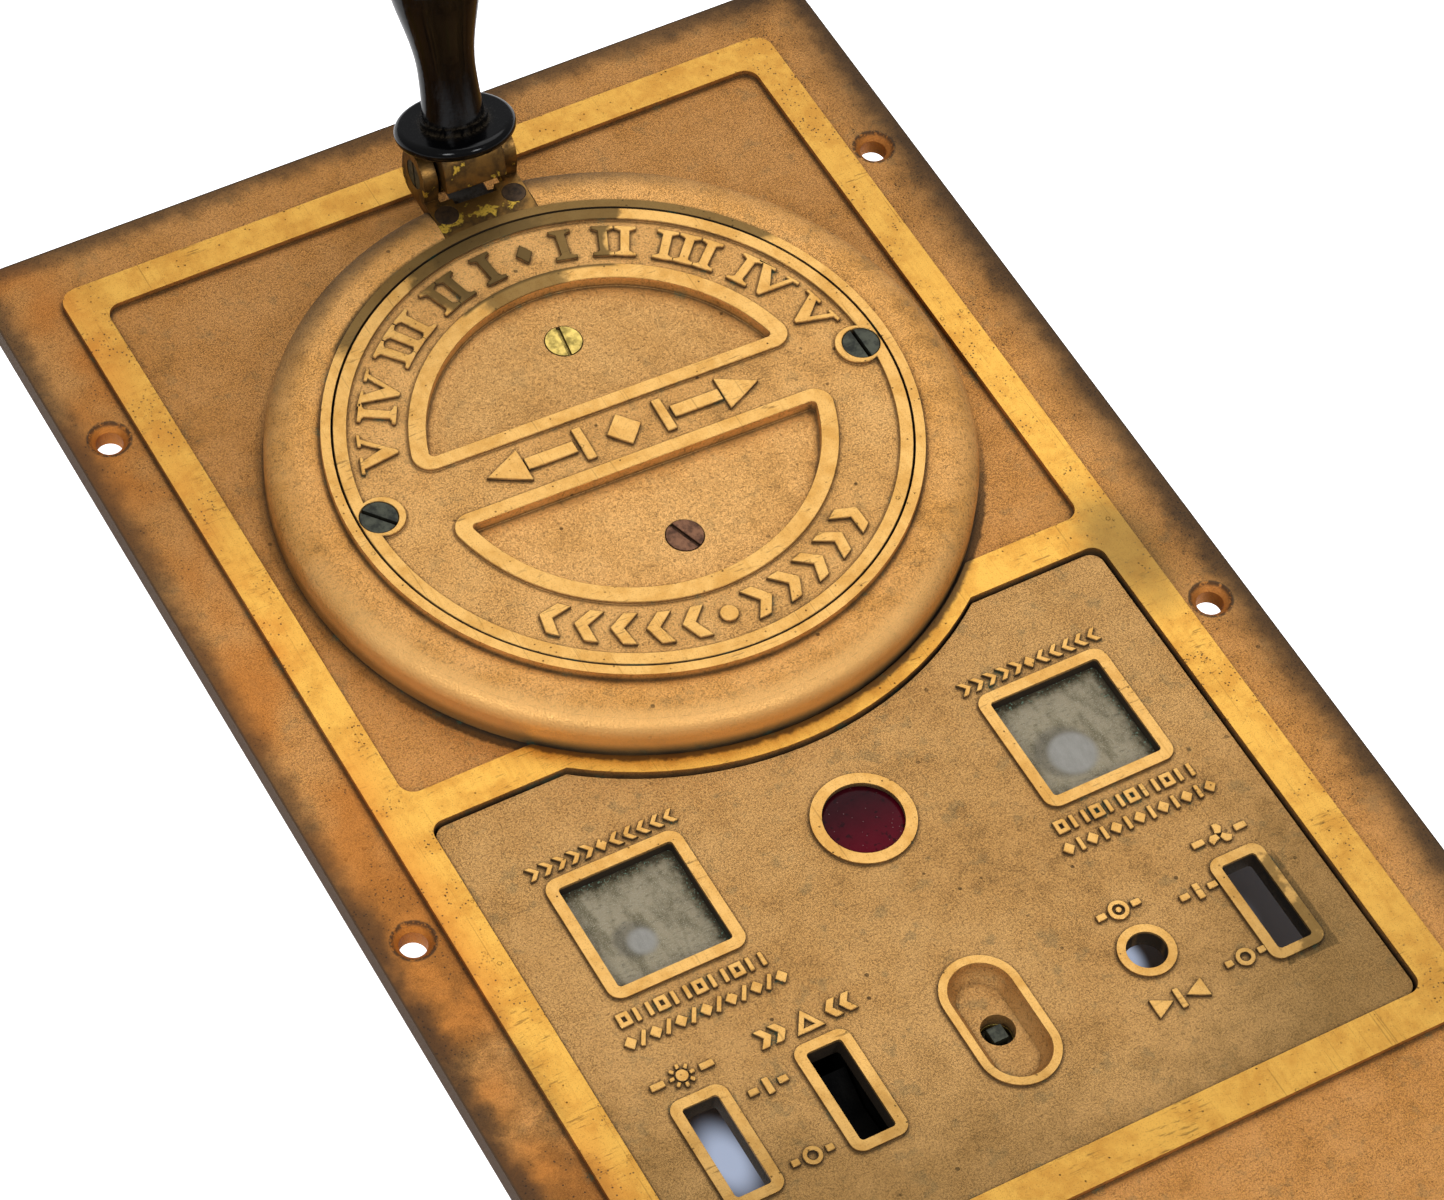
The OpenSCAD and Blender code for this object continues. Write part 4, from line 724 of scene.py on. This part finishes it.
def ease_edges(piece, width):
    """Joins the mesh's split corners, merges its flat faces and rounds its sharp edges."""
    weld = piece.modifiers.new("weld", "WELD")
    weld.merge_threshold = 0.001 * MM
    if width:
        flat = piece.modifiers.new("flat", "DECIMATE")
        flat.decimate_type = "DISSOLVE"
        flat.angle_limit = math.radians(0.3)
        bevel = piece.modifiers.new("ease", "BEVEL")
        bevel.limit_method = "ANGLE"
        bevel.angle_limit = math.radians(35)
        bevel.width = width * MM
        bevel.segments = 2
        bevel.use_clamp_overlap = True
    normals = piece.modifiers.new("normals", "WEIGHTED_NORMAL")
    normals.keep_sharp = False


def dress(piece, material):
    piece.data.materials.clear()
    piece.data.materials.append(material)


slots = {part["node"]: part["material_slot"] for part in record["subparts"]}
for name, piece in nodes.items():
    dress(piece, MATERIALS[NODE_MATERIAL.get(name, slots[name])])
    if name not in SMOOTH_SKINS:
        ease_edges(piece, EDGE_EASE.get(name, EASE))


# ---- raised marks ----

def turned(points, angle, x=0.0, y=0.0, scale=1.0):
    c, s = math.cos(angle), math.sin(angle)
    return [((c * px - s * py) * scale + x, (s * px + c * py) * scale + y) for px, py in points]


def round_loop(radius, count=28, x=0.0, y=0.0):
    return [(x + radius * math.cos(2 * math.pi * i / count),
             y + radius * math.sin(2 * math.pi * i / count)) for i in range(count)]


def box_loop(width, height, x=0.0, y=0.0):
    return [(x + sx * width / 2, y + sy * height / 2)
            for sx, sy in ((-1, -1), (1, -1), (1, 1), (-1, 1))]


def mirrored(points):
    return [(-x, y) for x, y in reversed(points)]


def numeral_one(height):
    """A slab-serif stroke with bracketed feet."""
    stem, foot, slab, bracket = 0.125 * height, 0.29 * height, 0.10 * height, 0.07 * height
    half = height / 2
    right = [(foot, -half), (foot, -half + slab), (stem + bracket, -half + slab + bracket * 0.3),
             (stem, -half + slab + bracket), (stem, half - slab - bracket),
             (stem + bracket, half - slab - bracket * 0.3), (foot, half - slab), (foot, half)]
    return [right + mirrored(right)]


def numeral_five(height):
    """A V with a thick left stroke, a thin right one and serifs on top."""
    half, slab = height / 2, 0.10 * height
    thick, thin, reach, serif = 0.27 * height, 0.13 * height, 0.50 * height, 0.13 * height
    return [[(0.04 * height, -half), (reach - thin * 0.2, half - slab), (reach + serif, half - slab),
             (reach + serif, half), (reach - thin - serif, half), (reach - thin - serif, half - slab),
             (reach - thin * 1.3, half - slab), (0.10 * height, -half + 0.42 * height),
             (-reach + thick + 0.02 * height, half - slab),
             (-reach + thick + serif, half - slab), (-reach + thick + serif, half),
             (-reach - serif, half), (-reach - serif, half - slab),
             (-reach + 0.02 * height, half - slab),
             (-0.06 * height, -half)]]


def arrow_head(width, height):
    return [[(-width / 2, -height / 2), (width / 2, 0), (-width / 2, height / 2)]]


def chevron(width, height, stroke):
    half = height / 2
    return [[(-width / 2, -half), (-width / 2 + stroke, -half), (width / 2, 0),
             (-width / 2 + stroke, half), (-width / 2, half), (width / 2 - stroke, 0)]]


def lozenge(width, height):
    return [[(0, -height / 2), (width / 2, 0), (0, height / 2), (-width / 2, 0)]]


def ring_mark(radius, stroke):
    return [round_loop(radius), round_loop(radius - stroke)]


def place(glyph, x, y, angle=0.0, scale=1.0):
    return [turned(loop, angle, x, y, scale) for loop in glyph]


def relief(name, loops, low, height, edge, material, body):
    """Raises flat outlines (in mm) from the height low, with rounded upper edges."""
    curve = bpy.data.curves.new(name, "CURVE")
    curve.dimensions = "2D"
    curve.fill_mode = "BOTH"
    curve.extrude = (height / 2 - edge) * MM
    curve.bevel_depth = edge * MM
    curve.bevel_resolution = 1
    curve.offset = -edge * MM
    for loop in loops:
        spline = curve.splines.new("POLY")
        spline.points.add(len(loop) - 1)
        for point, (x, y) in zip(spline.points, loop):
            point.co = (x * MM, y * MM, 0, 1)
        spline.use_cyclic_u = True
    shape = bpy.data.objects.new(name + "_outline", curve)
    scene.collection.objects.link(shape)
    bpy.context.view_layer.update()
    mesh = bpy.data.meshes.new_from_object(
        shape.evaluated_get(bpy.context.evaluated_depsgraph_get()))
    bpy.data.objects.remove(shape)
    mesh.transform(Matrix.Translation((0, 0, low + height / 2 * MM)))
    mesh.name = name
    piece = bpy.data.objects.new(name, mesh)
    scene.collection.objects.link(piece)
    dress(piece, material)
    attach(piece, body)
    return piece


MARK_R = 77.4          # middle radius of the marks round the disc
NUMERAL_H = 12.4
NUMERALS_AT = 86.0     # degrees round the dial, the middle of the numerals
CHEVRONS_AT = 266
CHEVRON_PITCH = 8.2    # degrees
MARK_SINK = 0.25       # how far a mark's foot reaches into its floor


def dial_marks():
    """Numerals round the disc, a double arrow on its bar and chevrons below."""
    cx, cy = dial_axis.x / MM, dial_axis.y / MM
    loops = []

    def on_arc(glyph, degrees, upright):
        angle = math.radians(degrees)
        x, y = cx + MARK_R * math.cos(angle), cy + MARK_R * math.sin(angle)
        loops.extend(place(glyph, x, y, angle - math.pi / 2 if upright else angle + math.pi / 2))

    glyphs = {"I": numeral_one(NUMERAL_H), "V": numeral_five(NUMERAL_H), "*": lozenge(5.5, 8.0)}
    widths = {"I": 7.0, "V": 11.6, "*": 7.0}
    gap = 6.2
    numbers = ["V", "IV", "III", "II", "I", "*", "I", "II", "III", "IV", "V"]
    total = sum(widths[sign] for number in numbers for sign in number) + gap * (len(numbers) - 1)
    at = -total / 2
    for number in numbers:
        for sign in number:
            along = at + widths[sign] / 2
            on_arc(glyphs[sign], NUMERALS_AT - math.degrees(along / MARK_R), True)
            at += widths[sign]
        at += gap

    head = chevron(8.5, 11.8, 4.4)
    for i in range(5):
        step = CHEVRON_PITCH * (i + 1)
        on_arc(head, CHEVRONS_AT + step, False)
        on_arc([mirrored(loop) for loop in head], CHEVRONS_AT - step, False)
    on_arc([round_loop(3.0)], CHEVRONS_AT, False)

    arrow = (place(arrow_head(13, 13), 41, 0) + [box_loop(17, 4.6, 25.5, 0)]
             + [box_loop(3.2, 13, 14.0, 0)])
    bar = arrow + [mirrored(loop) for loop in arrow] + lozenge(12, 13)
    loops += [turned(loop, REST_TURN, cx, cy) for loop in bar]
    relief("dial_marks", loops, disc_floor - MARK_SINK * MM, relief_h / MM + MARK_SINK - 0.1, 0.22,
           MATERIALS["disc_bronze"], "dial")


def sun():
    rays = [turned(box_loop(1.6, 1.2), i * math.pi / 4, 3.3 * math.cos(i * math.pi / 4),
                   3.3 * math.sin(i * math.pi / 4)) for i in range(8)]
    return [round_loop(2.0)] + rays


def fan_blades():
    blade = [(0.3, -0.9), (2.2, -2.2), (4.0, -1.4), (4.1, 0.5), (2.4, 0.6), (0.9, 1.0)]
    return [turned(blade, math.radians(90 + 120 * i)) for i in range(3)]


def triangle(width, height, stroke):
    """Upright triangle outline."""
    half, foot = width / 2, -height / 2
    inner = half - 1.9 * stroke
    return [[(-half, foot), (half, foot), (0, height / 2)],
            [(-inner, foot + stroke), (inner, foot + stroke), (0, height / 2 - 2.1 * stroke)]]


def flanked(glyph, reach, dash, stroke):
    """A glyph between two dashes whose far ends are reach from its middle."""
    at = reach - dash / 2
    return glyph + [box_loop(dash, stroke, -at), box_loop(dash, stroke, at)]


CAPTION_H = 4.8        # small marks by the windows
TITLE_H = 7.0          # marks over the slots
STROKE = 1.5
DASH = 2.2


def panel_marks():
    """Pictograms, dashes and bars beside the windows, slots and button hole."""
    loops = []

    def at(glyph, x, y):
        loops.extend(place(glyph, x, y))

    def row(glyphs, x, y, pitch):
        start = x - pitch * (len(glyphs) - 1) / 2
        for i, glyph in enumerate(glyphs):
            at(glyph, start + i * pitch, y)

    small = chevron(4.2, CAPTION_H, 2.0)
    back = [mirrored(loop) for loop in small]
    square = [box_loop(4.2, CAPTION_H), box_loop(4.2 - 2 * STROKE, CAPTION_H - 2 * STROKE)]
    upright = [box_loop(STROKE, CAPTION_H)]
    slanted = [turned(box_loop(STROKE, CAPTION_H * 1.12), math.radians(-30))]
    for side, node in ((-1, "left_glass"), (1, "right_glass")):
        middle = centre_of(*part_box(node)) / MM
        row([small] * 5 + [lozenge(4.0, CAPTION_H)] + [back] * 5, middle.x, middle.y + 27.4, 4.6)
        row([square, upright, upright] * 4, middle.x, middle.y - 29.3, 4.2)
        diamond = lozenge(4.4, CAPTION_H)
        row([diamond, slanted if side < 0 else upright] * 6 + [diamond],
            middle.x, middle.y - 37.2, 4.2)

    titles = LIGHT_SLOT.y + 26.5
    on_mark = flanked([box_loop(2.2, 5.6)], 6.5, 3.2, DASH)
    off_mark = flanked(ring_mark(3.1, STROKE), 7.0, 2.6, DASH)
    arrows = (place(chevron(5.0, TITLE_H * 0.9, 2.8), -9.0, 0)
              + place(chevron(5.0, TITLE_H * 0.9, 2.8), -13.8, 0))
    head = place(arrow_head(6.8, TITLE_H), -5.6, 0)

    at(flanked(sun(), 10.4, 4.6, DASH), LIGHT_SLOT.x, titles)
    at(triangle(9.4, TITLE_H * 1.1, STROKE) + arrows + [mirrored(loop) for loop in arrows],
       SAFETY_SLOT.x, titles)
    at(flanked(fan_blades(), 9.6, 4.2, DASH), FAN_SLOT.x, titles)
    for x in (SAFETY_SLOT.x - 20.6, FAN_SLOT.x - 16.4):
        at(on_mark, x, LIGHT_SLOT.y + 12.2)
        at(off_mark, x, LIGHT_SLOT.y - 13.8)
    at(flanked(ring_mark(3.4, STROKE) + [round_loop(1.0)], 7.6, 3.2, DASH),
       BUTTON_HOLE.x, BUTTON_HOLE.y + 16)
    at(head + [mirrored(loop) for loop in head] + [box_loop(2.0, TITLE_H)],
       BUTTON_HOLE.x, BUTTON_HOLE.y - 18.5)
    relief("panel_marks", loops, panel_top - MARK_SINK * MM, bezel_rise / MM + MARK_SINK - 0.1,
           0.18, MATERIALS["panel_bronze"], "panel")


dial_marks()
panel_marks()


# ---- springs: copies of the coils in steel, fixed to the panel ----

def button_spring(node):
    piece = bpy.data.objects.new(node + "_coil", nodes[node].data.copy())
    scene.collection.objects.link(piece)
    dress(piece, MATERIALS["steel"])
    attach(piece, "panel")
    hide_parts(node)
    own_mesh(piece)


button_spring("left_button_spring")
button_spring("right_button_spring")


# ---- floor, light and camera ----

FLOOR_GLOW = 1.1         # as the camera sees it
FLOOR_BOUNCE = 0.35      # as the panel sees it
PATCH_GLOW = 0.60        # under the open slots
ROOM_LIGHT = 0.42
FLOOR_HALF = 6.0         # m
SHADE_IN = (-44, -36)    # mm inside the panel's outline where the floor's shade ends
PAINTED_LIGHT_PATCHES = ((LIGHT_SLOT, 11, 1.0), (BUTTON_HOLE, 7, 0.9), (FAN_SLOT, 7, 0.12))


def painted_light_patch(s, x, y, floor_z, opening, reach):
    """A painted, glowing patch of light on the floor, seen through the near left part of an opening.
    reach is the patch's half width in mm."""
    depth = opening.z - floor_z / MM
    patch = opening + Vector((*SIGHT_SHIFT, 0)) * depth + Vector((-0.5, -1.0, 0)) * reach
    away = s.math("SQRT", s.add(s.math("POWER", s.add(x, -patch.x), 2),
                                s.mul(s.math("POWER", s.add(y, -patch.y), 2), 0.35)))
    return s.step(away, reach, 0.25 * reach)


def floor():
    """A white sheet that glows softly round the panel, with painted shade under it and painted patches of light
    under the open slots.
    """
    mesh = bpy.data.meshes.new("floor")
    z = cad_low.z
    corners = [(*corner, z) for corner in box_loop(2 * FLOOR_HALF, 2 * FLOOR_HALF)]
    mesh.from_pydata(corners, [], [(0, 1, 2, 3)])
    piece = bpy.data.objects.new("floor", mesh)
    scene.collection.objects.link(piece)
    s = Shade("floor")
    x, y, _ = s.axes()
    near, far = (plate_low.z - z) / MM, (plate_high.z - z) / MM
    shift_x, shift_y = SIGHT_SHIFT
    beyond = s.either(s.add(x, -(plate_high.x / MM + shift_x * far)),
                      s.add(y, -(plate_high.y / MM + shift_y * far)))
    before = s.either(s.math("SUBTRACT", plate_low.x / MM + shift_x * near, x),
                      s.math("SUBTRACT", plate_low.y / MM + shift_y * near, y))
    open_floor = s.step(s.either(beyond, before), *SHADE_IN)
    patches = 0.0
    for opening, reach, amount in PAINTED_LIGHT_PATCHES:
        patches = s.either(patches, s.mul(painted_light_patch(s, x, y, z, opening, reach), amount))
    haze = s.noise(400, 2, 0.5, seed=121.0)
    sheet = s.mix((0.93, 0.93, 0.94), (0.90, 0.90, 0.92), haze)
    # Painted shade: the floor is made dark under the panel's outline.
    s.finish(s.mix((0.10, 0.10, 0.11), sheet, open_floor), 0.7)
    s.link(s.mix((0.62, 0.72, 0.95), (0.98, 0.99, 1.0), open_floor),
           s.principled.inputs["Emission Color"])
    seen = s.tree.nodes.new("ShaderNodeLightPath").outputs["Is Camera Ray"]
    glow = s.step(seen, 0, 1, FLOOR_BOUNCE, FLOOR_GLOW)
    glow = s.either(s.mul(open_floor, glow), s.mul(patches, PATCH_GLOW))
    s.link(glow, s.principled.inputs["Emission Strength"])
    dress(piece, s.material)


def soft_light(name, place, target, size, power, colour=(1, 1, 1)):
    light = bpy.data.lights.new(name, "AREA")
    light.shape = "DISK"
    light.size = size
    light.energy = power
    light.color = colour
    lamp = bpy.data.objects.new(name, light)
    lamp.location = place
    lamp.rotation_mode = "QUATERNION"
    lamp.rotation_quaternion = (Vector(target) - Vector(place)).to_track_quat("-Z", "Y")
    scene.collection.objects.link(lamp)


def studio():
    """A dim pale room with one broad soft box behind and two smaller ones by the camera."""
    world = bpy.data.worlds.new("studio")
    scene.world = world
    world.use_nodes = True
    tree = world.node_tree
    background = tree.nodes["Background"]
    coordinate = tree.nodes.new("ShaderNodeTexCoord")
    split = tree.nodes.new("ShaderNodeSeparateXYZ")
    ramp = tree.nodes.new("ShaderNodeValToRGB")
    ramp.color_ramp.elements[0].color = (0.62, 0.63, 0.66, 1)
    ramp.color_ramp.elements[1].color = (1.0, 1.0, 1.0, 1)
    ramp.color_ramp.elements[1].position = 0.6
    tree.links.new(coordinate.outputs["Generated"], split.inputs[0])
    tree.links.new(split.outputs[2], ramp.inputs[0])
    tree.links.new(ramp.outputs[0], background.inputs["Color"])
    background.inputs["Strength"].default_value = ROOM_LIGHT
    soft_light("broad", (0.60, 0.85, 1.40), (0, 0, 0), 1.5, 10.5)
    soft_light("left", (-1.10, -0.55, 1.35), (0, 0, 0), 0.55, 12, (0.96, 0.98, 1.0))
    soft_light("right", (0.35, -1.25, 1.30), (0, 0, 0), 0.50, 10, (0.96, 0.98, 1.0))
    scene.view_settings.view_transform = "Standard"


LENS = 124.28                          # focal length in mm on a 36 mm sensor
EYE = (-0.5146, -0.6976, 1.2470)       # the camera's place in m
AHEAD = (0.3345, 0.4954, -0.8016)      # its directions
TO_RIGHT = (0.8710, -0.4872, 0.0624)


def camera():
    """Looks down on the panel from its lower left, turned so that it runs across the frame."""
    data = bpy.data.cameras.new("camera")
    data.sensor_width = 36
    data.lens = LENS
    data.clip_start, data.clip_end = 0.05, 50
    eye = bpy.data.objects.new("camera", data)
    ahead = Vector(AHEAD).normalized()
    up = Vector(TO_RIGHT).normalized().cross(ahead).normalized()
    right = ahead.cross(up)
    turn = Matrix((right, up, -ahead)).transposed().to_4x4()
    eye.matrix_world = Matrix.Translation(EYE) @ turn
    scene.collection.objects.link(eye)
    scene.camera = eye


floor()
studio()
camera()
